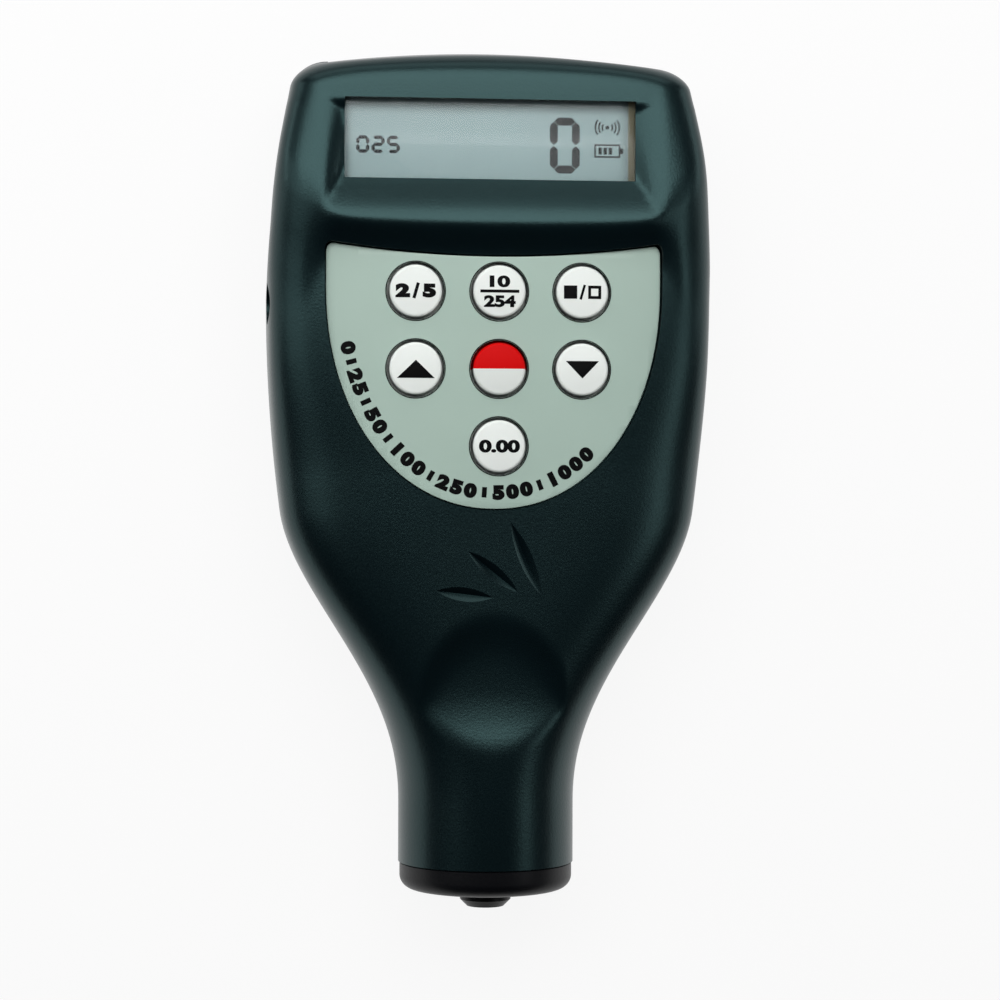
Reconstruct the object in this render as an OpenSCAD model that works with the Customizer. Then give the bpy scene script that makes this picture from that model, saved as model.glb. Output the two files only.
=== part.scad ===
// A handheld coating thickness gauge. A hooded display and a panel of round keys sit on a
// body that narrows to a round neck, and a sprung probe stands out of the neck's end cap.
// It lies on its back: X runs across it, Y towards the display and Z up out of its face.

/* [Housing] */
// Length of the housing from the neck's end to the top edge
housing_len = 119.1; // [114:0.1:128]
// Greatest width of the body
body_w = 65; // [62:0.5:72]
// Greatest thickness, over the display hood
body_t = 27; // [26.5:0.1:30]
// Width of the body at its top edge
top_w = 57.2; // [55:0.2:62]
// Distance from the top edge down to the widest point
widest_drop = 36.3; // [30:0.1:42]
// Bow of the sides above the widest point, where 1 is straight
side_bow = 1.25; // [1.1:0.05:2]
// Width where the shoulder starts to narrow
shoulder_w = 60.8; // [58:0.2:64]
// Length of the shoulder between body and neck
shoulder_len = 42.6; // [38:0.2:46]
// Straight length of the neck
neck_len = 9; // [7:0.5:12]
// Diameter of the neck
neck_d = 25.8; // [25:0.1:27]
// Height of the neck above the table
neck_lift = 0.2; // [0.1:0.1:0.6]
// Wall thickness of both shells
wall = 2; // [1.8:0.1:2.4]
// Radius of the two top corners
corner_r = 5; // [4:0.2:7]
// Rounding of the top edge towards the face
face_edge = 3; // [1:0.1:4]
// Rounding of the top edge towards the back
back_edge = 5; // [3:0.1:7]
// Sag of the arched top edge across the width
top_sag = 1.6; // [0.5:0.1:3]
// How far the top end leans back from the parting plane to the face
top_lean = 1.6; // [0.8:0.1:1.8]
// Squareness of the section at the keys, where 2 is an ellipse
key_power = 3.4; // [2.8:0.1:4.5]
// Squareness of the section at the hood
hood_power = 7; // [5:0.5:9]
// Squareness of the section at the back
back_power = 5; // [4.5:0.1:6]
// How far the back would bulge below the table before it is cut flat
back_flat = 0.9; // [0.7:0.1:1.5]

/* [Hood] */
// Height of the hood above the face at the keys
hood_rise = 1.8; // [1:0.1:2.4]
// How far the hood's face falls from its ridge to the top edge
hood_fall = 2.2; // [1.6:0.1:2.3]
// Distance from the top edge down to the hood's ridge
hood_len = 25.9; // [25:0.1:28]
// Length of the slope from the ridge down to the keys
hood_slope = 5.4; // [4:0.1:7]
// Sag of the ridge across the width
hood_sag = 2.2; // [1:0.1:3]
// How far the ridge turns up at the hood's lower corners
hood_corner = 4; // [2:0.2:6]

/* [Window] */
// Width of the display opening
window_w = 42; // [38:0.5:44]
// Height of the display opening
window_h = 11.5; // [10:0.5:13]
// Distance from the top edge down to the opening's centre
window_drop = 14.1; // [14:0.1:15]
// Offset of the opening to the right
window_shift = -0.6; // [-1:0.1:1]
// Width of the bevel at the sides and the top of the opening
bevel_w = 3; // [1.5:0.1:3.4]
// Width of the bevel below the opening
bevel_low_w = 4.6; // [3:0.1:5]
// Depth of the opening's lip below the hood's ridge
bevel_depth = 2.2; // [1.8:0.1:2.6]
// Thickness of the lip at the foot of the bevel
lip_t = 0.8; // [0.6:0.1:1.2]
// Thickness of the clear window
lens_t = 1; // [0.8:0.1:1.4]
// Overlap of the window behind the lip
lens_lap = 1.5; // [1:0.1:2]
// Width of the frame that the window is let into, around the window
lens_frame = 2; // [1.5:0.1:2.6]
// Width of the display glass
lcd_w = 45; // [44.5:0.5:46]
// Height of the display glass
lcd_h = 14.5; // [14:0.5:15]
// Thickness of the display glass
lcd_t = 2.6; // [2:0.1:3]
// Wall of the display carrier
carrier_wall = 1; // [0.8:0.1:1.2]
// Ledge at each end of the carrier under the glass
carrier_ledge = 2; // [1.5:0.1:3]
// Width of a contact strip
strip_w = 2; // [1.6:0.1:2.4]

/* [Keys] */
// Diameter of a key
key_d = 7.5; // [6.5:0.1:8]
// Gap around a key
key_gap = 0.4; // [0.3:0.05:0.5]
// Pitch of the key columns
key_pitch_x = 12; // [11.5:0.1:12.6]
// Pitch of the key rows
key_pitch_y = 11.1; // [10.9:0.1:11.6]
// Distance from the top edge down to the first key row
key_drop = 36; // [35.6:0.1:37.1]
// Offset of the key columns to the right
key_shift = 0.6; // [0:0.1:0.8]
// Height of a key's crest above the panel
key_proud = 0.9; // [0.7:0.1:1.4]
// Radius of a key's domed top
key_dome = 24; // [15:1:40]
// Travel of a key
key_travel = 0.5; // [0.3:0.1:0.6]
// Width of the flange that keeps a key in
key_flange = 1; // [0.8:0.1:1.2]
// Thickness of that flange
key_flange_t = 0.9; // [0.7:0.1:1.1]
// Diameter of a key's stem
key_stem_d = 4; // [3:0.1:4.6]
// Depth of the guide collars below the panel's face
collar_depth = 2.6; // [2.5:0.1:2.8]
// Wall of the guide collars
collar_wall = 1.2; // [1:0.1:1.3]
// Thickness of the rubber mat
mat_t = 1; // [0.8:0.1:1.3]
// Height of the mat's domes
mat_dome_h = 2.7; // [2.2:0.1:3]
// Diameter of a mat dome at its foot
mat_dome_d = 9.2; // [8:0.1:10]
// Diameter of a mat dome at its crest
mat_crest_d = 5; // [4.6:0.1:5.6]
// Wall of a mat dome
mat_wall = 0.7; // [0.5:0.1:0.9]
// Margin of the mat around the outer domes
mat_margin = 1; // [0.6:0.1:1.2]

/* [Panel] */
// Greatest width of the key panel
panel_w = 48.4; // [46:0.2:50]
// Height of the panel along its middle
panel_h = 36.5; // [35.5:0.1:38]
// Distance from the top edge down to the middle of the panel's upper edge
panel_drop = 30.7; // [30.5:0.1:31]
// Distance from the panel's upper edge down to its widest point
panel_widest = 4.3; // [3:0.1:6]
// Sag of the panel's upper edge
panel_sag = 2; // [1:0.1:3]
// Rounding of the panel's upper corners
panel_corner = 1.6; // [1:0.1:3]
// Squareness of the panel's lower curve, where 2 is an ellipse
panel_power = 2.1; // [2:0.05:2.6]
// Thickness of the panel
panel_t = 0.8; // [0.5:0.05:0.9]
// Crown radius of the face at the keys
crown_r = 200; // [150:5:300]

/* [Grip] */
// Distance from the neck's end up to the middle of the thumb dent
dent_up = 27.6; // [26:0.1:29]
// Length of the thumb dent
dent_len = 17.8; // [16:0.2:20]
// Depth of the thumb dent
dent_depth = 3.2; // [2.4:0.1:3.4]
// Radius of the thumb dent across the gauge
dent_cross_r = 34; // [30:1:60]
// Width of a leaf groove
groove_w = 2; // [1.4:0.1:2.4]
// Depth of a leaf groove
groove_depth = 0.6; // [0.4:0.05:0.8]
// Distance from the dent's middle up to the left leaf
leaf_left_up = 12.1; // [11:0.1:13]
// Distance from the dent's middle up to the middle leaf
leaf_mid_up = 15.4; // [14.5:0.1:16.5]
// Distance from the dent's middle up to the right leaf
leaf_right_up = 17.3; // [16.5:0.1:18.5]

/* [Nose] */
// Height of the end cap below the seam
cap_h = 4; // [3.5:0.1:5]
// Diameter of the end cap
cap_d = 25.4; // [24.6:0.1:25.8]
// Rounding of the end cap's edge
cap_round = 2; // [1:0.1:3]
// Length of the end cap's spigot in the neck
spigot_len = 5; // [4:0.5:7]
// Thickness of the end cap around the probe
cap_floor = 3.4; // [2.8:0.1:3.6]
// How far the probe stands out of the end cap
probe_out = 2.9; // [2.4:0.1:3.2]
// Diameter of the probe's nose
probe_d = 7.5; // [7:0.1:8]
// Chamfer of the probe's nose
probe_chamfer = 1; // [0.6:0.1:1.2]
// How far the probe's tip stands out of its nose
tip_out = 0.2; // [0.1:0.1:0.5]
// Diameter of the measuring core
core_d = 3.4; // [3:0.1:3.6]
// Depth of the winding around the core
coil_t = 1.1; // [0.8:0.1:1.2]
// Length of the winding
coil_len = 11; // [8:0.5:12]
// Travel of the probe
probe_travel = 2; // [1:0.1:2]
// Width of the shoulder that keeps the probe in
probe_lip = 1.4; // [1.2:0.1:1.8]
// Thickness of that shoulder
probe_lip_t = 1.6; // [1.2:0.1:2]
// Length of the probe sleeve behind its shoulder
sleeve_len = 11; // [9:0.5:12]
// Inner length of the probe housing
tube_len = 20; // [19:0.5:21]
// Wall of the probe housing
tube_wall = 2; // [1.6:0.1:2.2]
// Wire of the return spring
spring_wire = 0.6; // [0.4:0.05:0.7]
// Turns of the return spring
spring_turns = 8; // [6:1:10]
// Diameter of a probe lead
lead_d = 1.1; // [0.8:0.1:1.4]
// Spacing of the probe leads
lead_pitch = 2.2; // [1.8:0.1:2.6]

/* [Battery bay] */
// Diameter of an AAA cell
cell_d = 10.5; // [10:0.1:10.6]
// Length of an AAA cell
cell_l = 44.5; // [43:0.1:44.6]
// Diameter of a cell's contact nub
nub_d = 3.8; // [3:0.1:3.8]
// Height of a cell's contact nub
nub_h = 0.9; // [0.8:0.1:1.2]
// Gap between neighbouring cells and at the bay's sides
cell_gap = 0.3; // [0.2:0.05:0.4]
// Length of a contact spring with a cell in place
cell_spring = 3.4; // [3:0.1:4]
// Thickness of a contact plate
plate_t = 0.4; // [0.3:0.05:0.5]
// Wall of the battery bay
bay_wall = 1.2; // [1:0.1:1.4]
// Distance from the top edge down to the bay's upper end
bay_drop = 7.6; // [7.2:0.1:8]
// Thickness of the battery door
door_t = 1.7; // [1.5:0.1:2]
// How far the door laps over each side of the bay
door_lap = 0.8; // [0.5:0.1:1]
// Width of the tongue along each side of the door
tongue_w = 1; // [0.8:0.1:1.2]
// Thickness of the ledge that the door slides under
ledge_t = 1.4; // [1:0.1:1.6]
// Width of the rail outside each tongue
rail_w = 2.2; // [1.6:0.1:2.6]
// Web between the door's slot and a screw's recess
rail_web = 0.9; // [0.6:0.1:1.4]
// Distance from the door's lower edge to its first grip groove
grip_start = 4; // [3:0.5:8]
// Pitch of the door's grip grooves
grip_pitch = 2; // [1.8:0.1:3]
// Radius of the door's grip grooves
grip_r = 0.8; // [0.5:0.1:0.85]
// Number of grip grooves
grip_count = 5; // [3:1:7]
// Travel that takes the door off
door_travel = 60; // [58:1:64]

/* [Board] */
// Thickness of the circuit board
board_t = 1.6; // [1.2:0.1:1.8]
// Width of the circuit board
board_w = 52.6; // [50:0.2:53]
// Distance from the top edge down to the board's upper edge
board_drop = 5; // [4.6:0.1:6]
// Distance from the board's lower edge to the end of the shoulder
board_tail = 4; // [3:0.1:5]
// Width of a chip
chip_w = 5; // [4:0.1:6]
// Height of a chip
chip_t = 1.2; // [0.8:0.1:1.6]
// Diameter of a capacitor
capacitor_d = 4; // [3:0.1:5]
// Height of a capacitor
capacitor_h = 4.5; // [3.5:0.1:5]
// Diameter of the crystal
crystal_d = 3; // [2:0.1:3.2]
// Depth of the plug of the probe leads
plug_t = 3; // [2.4:0.1:3.6]
// Height of that plug
plug_h = 3.6; // [3:0.1:4]
// Distance of that plug from the board's edge
plug_edge = 0.4; // [0.2:0.1:1]
// Radius of a screw boss
boss_r = 3; // [2.8:0.1:3.2]
// Distance from the top edge down to the upper screws
boss_drop = 29.5; // [28.5:0.1:30]
// Distance of the lower screws from the middle
boss_low_x = 19.5; // [18:0.1:20.5]
// Diameter of a screw
screw_d = 2.2; // [2:0.1:2.4]
// Diameter of a screw's head
screw_head_d = 4.2; // [3.8:0.1:4.4]
// Height of a screw's head
screw_head_h = 1.8; // [1.4:0.1:2]
// Length of a screw under its head
screw_len = 11; // [10:0.5:12]
// Depth of a screw's seat below the back
screw_seat = 5; // [4:0.1:6]

/* [Socket] */
// Bore of the data socket
jack_bore = 3.6; // [3.5:0.05:3.7]
// Depth of that bore
jack_depth = 12; // [11:0.5:12.5]
// Diameter of the socket's nose
jack_nose_d = 5.6; // [5.2:0.1:5.8]
// Depth of the socket's nose below the side of the body
jack_sink = 1.2; // [0.8:0.1:1.6]
// Height and width of the socket's body
jack_body = 5.2; // [5:0.1:5.4]
// Length of the socket's body
jack_len = 9; // [8:0.5:9.4]
// Distance from the top edge down to the socket
jack_drop = 37.5; // [37:0.1:42]

/* [Fits] */
// Running gap of a sliding piece, on the radius or the side
slide_gap = 0.1; // [0.05:0.01:0.15]
// Gap at a seat
seat_gap = 0.1; // [0.05:0.01:0.2]
// Gap around a piece that is dropped in
fit_gap = 0.2; // [0.1:0.05:0.3]

/* [Hidden] */
$fn = 64;

total_len = housing_len + cap_h + probe_out;
top_y = total_len / 2;
seam_y = top_y - housing_len;
cap_lo = seam_y - cap_h;
neck_r = neck_d / 2;
axis_z = neck_lift + neck_r;
shoulder_lo = seam_y + neck_len;
shoulder_hi = shoulder_lo + shoulder_len;
widest_y = top_y - widest_drop;
hood_hi = top_y - hood_len;
hood_lo = hood_hi - hood_slope;
lean_y = top_y - 2 * corner_r;
key_z = body_t - hood_rise;
back_depth = axis_z + back_flat;
past = 1;
reach = 40;

window_x = window_shift;
window_y = top_y - window_drop;
window_z = body_t - bevel_depth;
lens_z = window_z - lip_t;
lens_w = window_w + 2 * lens_lap;
lens_h = window_h + 2 * lens_lap;
frame_w = lens_w + 2 * lens_frame;
frame_h = lens_h + 2 * lens_frame;
frame_z = lens_z - lens_t - seat_gap;
lcd_hi = frame_z - seat_gap;
lcd_lo = lcd_hi - lcd_t;

bay_x = 2 * cell_d + 2.5 * cell_gap;
cell_z = door_t + 2 * fit_gap + cell_d / 2;
bay_ceiling = cell_z + cell_d / 2 + cell_gap;
bay_len = cell_l + cell_spring + 2 * plate_t + 4 * seat_gap;
bay_hi = top_y - bay_drop;
bay_lo = bay_hi - bay_len;
bay_mid = (bay_hi + bay_lo) / 2;
door_x = bay_x + door_lap;
door_lo = bay_lo - 2 * bay_wall;
ledge_z = door_t + fit_gap;
board_z = bay_ceiling + bay_wall + fit_gap;
board_hi = board_z + board_t;
mat_hi = board_hi + mat_t + mat_dome_h;

key_hole_r = key_d / 2 + key_gap;
key_row_y = top_y - key_drop;
KEYS = [
    ["key_mode", -1, 0], ["key_unit", 0, 0], ["key_metal", 1, 0],
    ["key_up", -1, 1], ["key_power", 0, 1], ["key_down", 1, 1],
    ["key_zero", 0, 2]
];
panel_y = top_y - panel_drop;

board_lo_y = shoulder_hi - board_tail;
board_hi_y = top_y - board_drop;
parts_x = (key_shift + key_pitch_x + mat_dome_d / 2 + mat_margin + board_w / 2) / 2;

jack_y = top_y - jack_drop;
jack_z = board_z + jack_body / 2;
boss_hi_x = door_x + tongue_w + slide_gap + rail_web + screw_head_d / 2 + fit_gap;
boss_hi_y = top_y - boss_drop;
BOSSES = [
    [-boss_hi_x, boss_hi_y], [boss_hi_x, boss_hi_y],
    [-boss_low_x, shoulder_hi], [boss_low_x, shoulder_hi]
];

floor_y = cap_lo + cap_floor;
lip_r = probe_d / 2 + probe_lip;
tube_r = lip_r + slide_gap;
tube_hi = floor_y + seat_gap + tube_len;
sleeve_end = floor_y + seat_gap + probe_lip_t + sleeve_len;
dent_y = seam_y + dent_up;
GROOVES = [
    [-4.5, dent_y + leaf_left_up, -7, 8.6],
    [-0.3, dent_y + leaf_mid_up, -39, 9.4],
    [4.5, dent_y + leaf_right_up, -67, 11.4]
];

// Curves that the body is lofted along, as functions of the place along Y.
function clamp01(t) = min(1, max(0, t));
function ease(t) = let (c = clamp01(t)) c * c * (3 - 2 * c);
function blend(a, b, t) = a + (b - a) * t;
function on_shoulder(y) = ease((y - shoulder_lo) / shoulder_len);
function on_hood(y) = ease((y - hood_lo) / hood_slope);

function half_width(y) =
    let (
        d = y - widest_y,
        upper = (body_w - top_w) / 2 * pow(max(0, d) / widest_drop, side_bow),
        lower = (body_w - shoulder_w) / 2 * pow(d / (widest_y - shoulder_hi), 2)
    )
    blend(neck_r, body_w / 2 - (d > 0 ? upper : lower), on_shoulder(y));

function hood_face(y) = key_z + hood_height(y);
function hood_height(y) = hood_rise - hood_fall * clamp01((y - hood_hi) / hood_len);
function face_depth(y) =
    blend(neck_r, key_z - axis_z, on_shoulder(y)) + hood_height(y) * on_hood(y);
function face_power(y) =
    blend(2, key_power, on_shoulder(y)) + (hood_power - key_power) * on_hood(y);
function rear_depth(y) = blend(neck_r, back_depth, on_shoulder(y));
function rear_power(y) = blend(2, back_power, on_shoulder(y));

// The inside of the front stays clear of the thumb dent by a wall.
function dent_relief(y) =
    let (away = min(1, abs(y - dent_y) / (0.75 * dent_len)))
    dent_depth * pow(cos(90 * away), 2);

// Height of the face, or of its inside, over a point.
function face_z(x, y, inset) =
    let (p = face_power(y), u = min(1, abs(x) / (half_width(y) - inset)))
    axis_z + (face_depth(y) - inset) * pow(1 - pow(u, p), 1 / p);

// How far the lines of the loft bend along Y: down at the arched top, back towards the face at
// the leaning top end, and up beside the hood.
function arch_bend(y) = -top_sag * clamp01((y - hood_lo) / (top_y - hood_lo));
function lean_bend(y) = -top_lean * clamp01((y - lean_y) / (top_y - lean_y));
function hood_bend(y) =
    y > hood_hi ? ease((top_y - y) / (top_y - hood_hi)) : ease((y - hood_lo + 16) / 16);

// One point of a half section; side is 1 for the face and -1 for the back.
function section_point(side, station, inset, turn) =
    let (
        y = station[0],
        lift = 1 - cos(station[1]),
        round_r = max(corner_r - inset, 1),
        w = half_width(y) - inset - round_r * lift,
        relief = side > 0 && inset > 0 ? dent_relief(y) : 0,
        full = (side > 0 ? face_depth(y) : rear_depth(y)) - inset - relief,
        depth = full - max((side > 0 ? face_edge : back_edge) - inset, 0.5) * lift,
        p = 2 / (side > 0 ? face_power(y) : rear_power(y)),
        u = sign(cos(turn)) * pow(abs(cos(turn)), p),
        v = pow(abs(sin(turn)), p),
        bend = arch_bend(y) * u * u,
        ridge = hood_bend(y) * (hood_sag * u * u + hood_corner * pow(u, 8)),
        front = side > 0 ? (ridge + lean_bend(y)) * v : 0
    )
    [w * u, y + bend + front, axis_z + side * depth * v];

// The foot of that point on the parting plane, for the wall of the top end.
function end_point(side, station, inset, turn, z) =
    let (
        p = 2 / (side > 0 ? face_power(station[0]) : rear_power(station[0])),
        u = sign(cos(turn)) * pow(abs(cos(turn)), p)
    )
    [section_point(side, station, inset, turn)[0], station[0] + arch_bend(station[0]) * u * u, z];

function run(a, b, n) = [for (i = [1:n]) [a + (b - a) * i / n, 0]];
function top_turn(inset, n) =
    let (r = max(corner_r - inset, 1))
    [for (i = [1:n]) [top_y - inset - r + r * sin(90 * i / n), 90 * i / n]];
function stations(inset, fine) =
    let (start = top_y - inset - max(corner_r - inset, 1))
    concat(
        [[seam_y - (inset > 0 ? past : 0), 0], [shoulder_lo, 0]],
        run(shoulder_lo, shoulder_hi, 8 * fine),
        run(shoulder_hi, hood_lo, 2 * fine),
        run(hood_lo, hood_hi, 4 * fine),
        run(hood_hi, start, 1 + fine),
        top_turn(inset, 3 * fine)
    );

// Half of the body as a loft; skirt carries it past the parting plane, for a clean cut.
module half_form(side, inset, fine, skirt) {
    seg = 14 * fine;
    rings = stations(inset, fine);
    n = seg + (skirt > 0 ? 3 : 1);
    last = len(rings) - 1;
    rows = [
        for (s = rings)
            let (
                arc = [for (j = [0:seg]) section_point(side, s, inset, 180 * j / seg)],
                drop = [0, 0, -side * skirt]
            )
            each skirt > 0 ? concat(arc, [arc[seg] + drop, arc[0] + drop]) : arc
    ];
    sill_z = axis_z - side * skirt;
    sill = [for (j = [1:seg - 1]) end_point(side, rings[last], inset, 180 * j / seg, sill_z)];
    base_strip = skirt > 0 ? seg + 1 : seg;
    strips = [
        for (i = [0:last - 1], j = [0:n - 1])
            if (i < last - 1 || j != base_strip)
                let (a = i * n + j, b = i * n + (j + 1) % n)
                each [[a, b, b + n], [a, b + n, a + n]]
    ];
    end = last * n;
    first_foot = end + (base_strip + 1) % n;
    last_foot = end + base_strip;
    feet = concat([first_foot], [for (j = [1:seg - 1]) end + n + j - 1], [last_foot]);
    wall_faces = [
        for (j = [0:seg - 1])
            let (a = end + j, b = a + 1, c = feet[j + 1], d = feet[j])
            each concat(b == c ? [] : [[a, b, c]], a == d ? [] : [[a, c, d]])
    ];
    base = [concat([last_foot - n, first_foot - n], feet)];
    half = seg / 2;
    neck = [
        for (j = [0:half - 1])
            each j < half - 1
                ? [[j, j + 1, seg - j - 1], [j, seg - j - 1, seg - j]]
                : [[j, j + 1, seg - j]]
    ];
    neck_sill = skirt > 0 ? [[seg, seg + 1, seg + 2], [seg, seg + 2, 0]] : [];
    bottom = [for (f = concat(neck, neck_sill)) [f[2], f[1], f[0]]];
    faces = concat(strips, wall_faces, base, bottom);
    polyhedron(
        concat(rows, sill),
        side > 0 ? faces : [for (f = faces) [for (k = [len(f) - 1:-1:0]) f[k]]]
    );
}

module block(x0, x1, y0, y1, z0, z1) {
    translate([x0, y0, z0])
        cube([x1 - x0, y1 - y0, z1 - z0]);
}

// Turns a shape drawn along Z to lie along the probe's axis, with its heights along Y.
module along_axis() {
    translate([0, 0, axis_z])
        rotate([-90, 0, 0])
            children();
}

module pillar(x, y, z0, z1, r) {
    translate([x, y, z0])
        cylinder(h = z1 - z0, r = r);
}

// A wire coil drawn along Z, with its mean radius going from r0 to r1.
module coil(r0, r1, wire, h, turns) {
    sides = 6;
    steps = turns * 12;
    points = [
        for (i = [0:steps], k = [0:sides - 1])
            let (
                r = blend(r0, r1, i / steps) + wire / 2 * cos(360 * k / sides),
                z = wire / 2 + (h - wire) * i / steps + wire / 2 * sin(360 * k / sides)
            )
            [r * cos(30 * i), r * sin(30 * i), z]
    ];
    strips = [
        for (i = [0:steps - 1], k = [0:sides - 1])
            let (a = i * sides + k, b = i * sides + (k + 1) % sides)
            each [[a, a + sides, b + sides], [a, b + sides, b]]
    ];
    first = [for (k = [0:sides - 1]) k];
    final = [for (k = [sides - 1:-1:0]) steps * sides + k];
    polyhedron(points, concat(strips, [first, final]));
}

// Keys

function key_x(k) = key_shift + k[1] * key_pitch_x;
function key_y(k) = key_row_y - k[2] * key_pitch_y;
function crown(x) = key_z - crown_r + sqrt(crown_r * crown_r - x * x);
function collar_z(k) = crown(key_x(k)) - collar_depth;

module crown_roll(r) {
    translate([0, 0, key_z - crown_r])
        rotate([90, 0, 0])
            cylinder(h = 3 * reach, r = r, center = true, $fn = 360);
}

module panel_outline() {
    half = panel_w / 2;
    rise = panel_h - panel_widest;
    sag_r = (half * half + panel_sag * panel_sag) / (2 * panel_sag);
    lower = [
        for (i = [0:32])
            let (a = 180 * i / 32, p = 2 / panel_power)
            [
                half * sign(cos(a)) * pow(abs(cos(a)), p),
                panel_y - panel_widest - rise * pow(abs(sin(a)), p)
            ]
    ];
    upper = [
        for (i = [0:16])
            let (x = half * (i / 8 - 1))
            [x, panel_y + sag_r - sqrt(sag_r * sag_r - x * x)]
    ];
    offset(r = panel_corner)
        offset(delta = -panel_corner)
            polygon(concat(lower, upper));
}

module key(k) {
    x = key_x(k);
    flange_hi = collar_z(k) - seat_gap;
    crest = crown(x) + key_proud;
    color("white")
        translate([x, key_y(k), 0]) {
            intersection() {
                pillar(0, 0, flange_hi - key_flange_t, crest + past, key_d / 2);
                translate([0, 0, crest - key_dome])
                    sphere(r = key_dome);
            }
            pillar(0, 0, flange_hi - key_flange_t, flange_hi, key_d / 2 + key_flange);
            pillar(0, 0, mat_hi + seat_gap, flange_hi, key_stem_d / 2);
        }
}

module key_panel() {
    color("silver")
        difference() {
            intersection() {
                translate([0, 0, key_z - reach / 4])
                    linear_extrude(height = reach / 2)
                        panel_outline();
                crown_roll(crown_r);
            }
            crown_roll(crown_r - panel_t);
            for (k = KEYS)
                pillar(key_x(k), key_y(k), 0, reach, key_hole_r);
        }
}

module key_mat() {
    x0 = key_shift - key_pitch_x - mat_dome_d / 2 - mat_margin;
    x1 = key_shift + key_pitch_x + mat_dome_d / 2 + mat_margin;
    y0 = key_row_y - 2 * key_pitch_y - mat_dome_d / 2 - mat_margin;
    y1 = key_row_y + mat_dome_d / 2 + mat_margin;
    z0 = board_hi + seat_gap;
    color("dimgray")
        difference() {
            union() {
                block(x0, x1, y0, y1, z0, board_hi + mat_t);
                for (k = KEYS)
                    translate([key_x(k), key_y(k), board_hi + mat_t - mat_wall])
                        cylinder(h = mat_dome_h + mat_wall, d1 = mat_dome_d, d2 = mat_crest_d);
            }
            for (k = KEYS)
                translate([key_x(k), key_y(k), z0 - past])
                    cylinder(
                        h = mat_hi - 2 * mat_wall - z0 + past,
                        d1 = mat_dome_d - 2 * mat_wall,
                        d2 = mat_crest_d - 2 * mat_wall
                    );
        }
}

// Shells

module dent_tool() {
    long_r = (pow(dent_len / 2, 2) + dent_depth * dent_depth) / (2 * dent_depth);
    crest = axis_z + face_depth(dent_y);
    translate([0, dent_y, crest - dent_depth + long_r])
        rotate([0, 90, 0])
            rotate_extrude()
                intersection() {
                    translate([long_r - dent_cross_r, 0])
                        circle(r = dent_cross_r, $fn = 128);
                    translate([0, -dent_len])
                        square([2 * long_r, 2 * dent_len]);
                }
}

// A leaf groove: two flat cylinders that cross at an angle and leave a V with pointed ends.
module groove_tool(g) {
    lean = asin(groove_depth / (groove_w / 2));
    long_r = pow(g[3] / 2, 2) / (2 * groove_depth);
    translate([g[0], g[1], face_z(g[0], g[1], 0)])
        rotate([0, 0, g[2]])
            intersection_for (s = [-1, 1])
                rotate([s * lean, 0, 0])
                    translate([0, 0, long_r - groove_depth])
                        rotate([90, 0, 0])
                            cylinder(h = reach / 2, r = long_r, center = true, $fn = 96);
}

module window_tool() {
    w = window_w / 2;
    h = window_h / 2;
    beyond = 1.5;
    side_w = w + beyond * bevel_w;
    low_y = -h - beyond * bevel_low_w;
    high_y = h + beyond * bevel_w;
    low_z = blend(window_z, hood_face(window_y - h - bevel_low_w), beyond);
    high_z = blend(window_z, hood_face(window_y + h + bevel_w), beyond);
    translate([window_x, window_y, 0]) {
        polyhedron(
            [
                [-w, -h, window_z], [w, -h, window_z], [w, h, window_z], [-w, h, window_z],
                [-side_w, low_y, low_z], [side_w, low_y, low_z],
                [side_w, high_y, high_z], [-side_w, high_y, high_z]
            ],
            [
                [0, 1, 2, 3], [7, 6, 5, 4], [4, 5, 1, 0], [6, 7, 3, 2],
                [5, 6, 1], [6, 2, 1], [7, 4, 3], [4, 0, 3]
            ]
        );
        block(-w, w, -h, h, lens_z - past, window_z + past / 4);
        block(
            -lens_w / 2 - fit_gap, lens_w / 2 + fit_gap,
            -lens_h / 2 - fit_gap, lens_h / 2 + fit_gap,
            frame_z - past, lens_z
        );
    }
}

// Room for the display carrier, where the inside of the hood curves in to its corners.
module carrier_room() {
    w = lcd_w / 2 + carrier_wall + 2 * fit_gap;
    h = lcd_h / 2 + carrier_wall + 2 * fit_gap;
    translate([window_x, window_y, 0])
        block(-w, w, -h, h, axis_z + wall, lcd_hi + seat_gap / 2);
}

module front_shell() {
    color("darkslategray")
        difference() {
            union() {
                difference() {
                    half_form(1, 0, 2, 0);
                    half_form(1, wall, 1, past);
                }
                intersection() {
                    translate([window_x, window_y, 0])
                        block(-frame_w / 2, frame_w / 2, -frame_h / 2, frame_h / 2, frame_z, body_t);
                    half_form(1, wall / 2, 1, past);
                }
                for (k = KEYS)
                    pillar(
                        key_x(k), key_y(k), collar_z(k), collar_z(k) + wall - panel_t,
                        key_hole_r + collar_wall
                    );
                for (b = BOSSES)
                    pillar(
                        b[0], b[1], axis_z,
                        face_z(abs(b[0]) + boss_r, b[1] - boss_r, wall / 2), boss_r
                    );
                intersection() {
                    along_axis()
                        rib_ring();
                    block(-neck_r, neck_r, seam_y, dent_y, axis_z, body_t);
                }
            }
            window_tool();
            carrier_room();
            intersection() {
                translate([0, 0, key_z - reach / 4])
                    linear_extrude(height = reach)
                        offset(delta = fit_gap)
                            panel_outline();
                difference() {
                    block(-body_w, body_w, -total_len, total_len, 0, reach);
                    crown_roll(crown_r - panel_t - seat_gap);
                }
            }
            for (k = KEYS)
                pillar(key_x(k), key_y(k), axis_z, reach, key_hole_r);
            dent_tool();
            for (g = GROOVES)
                groove_tool(g);
            for (b = BOSSES)
                pillar(b[0], b[1], 0, screw_seat + screw_len + past, screw_d / 2 + seat_gap);
            translate([-reach, jack_y, jack_z])
                rotate([0, 90, 0])
                    cylinder(h = reach - board_w / 2 + past, r = jack_nose_d / 2 + fit_gap);
        }
}

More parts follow.
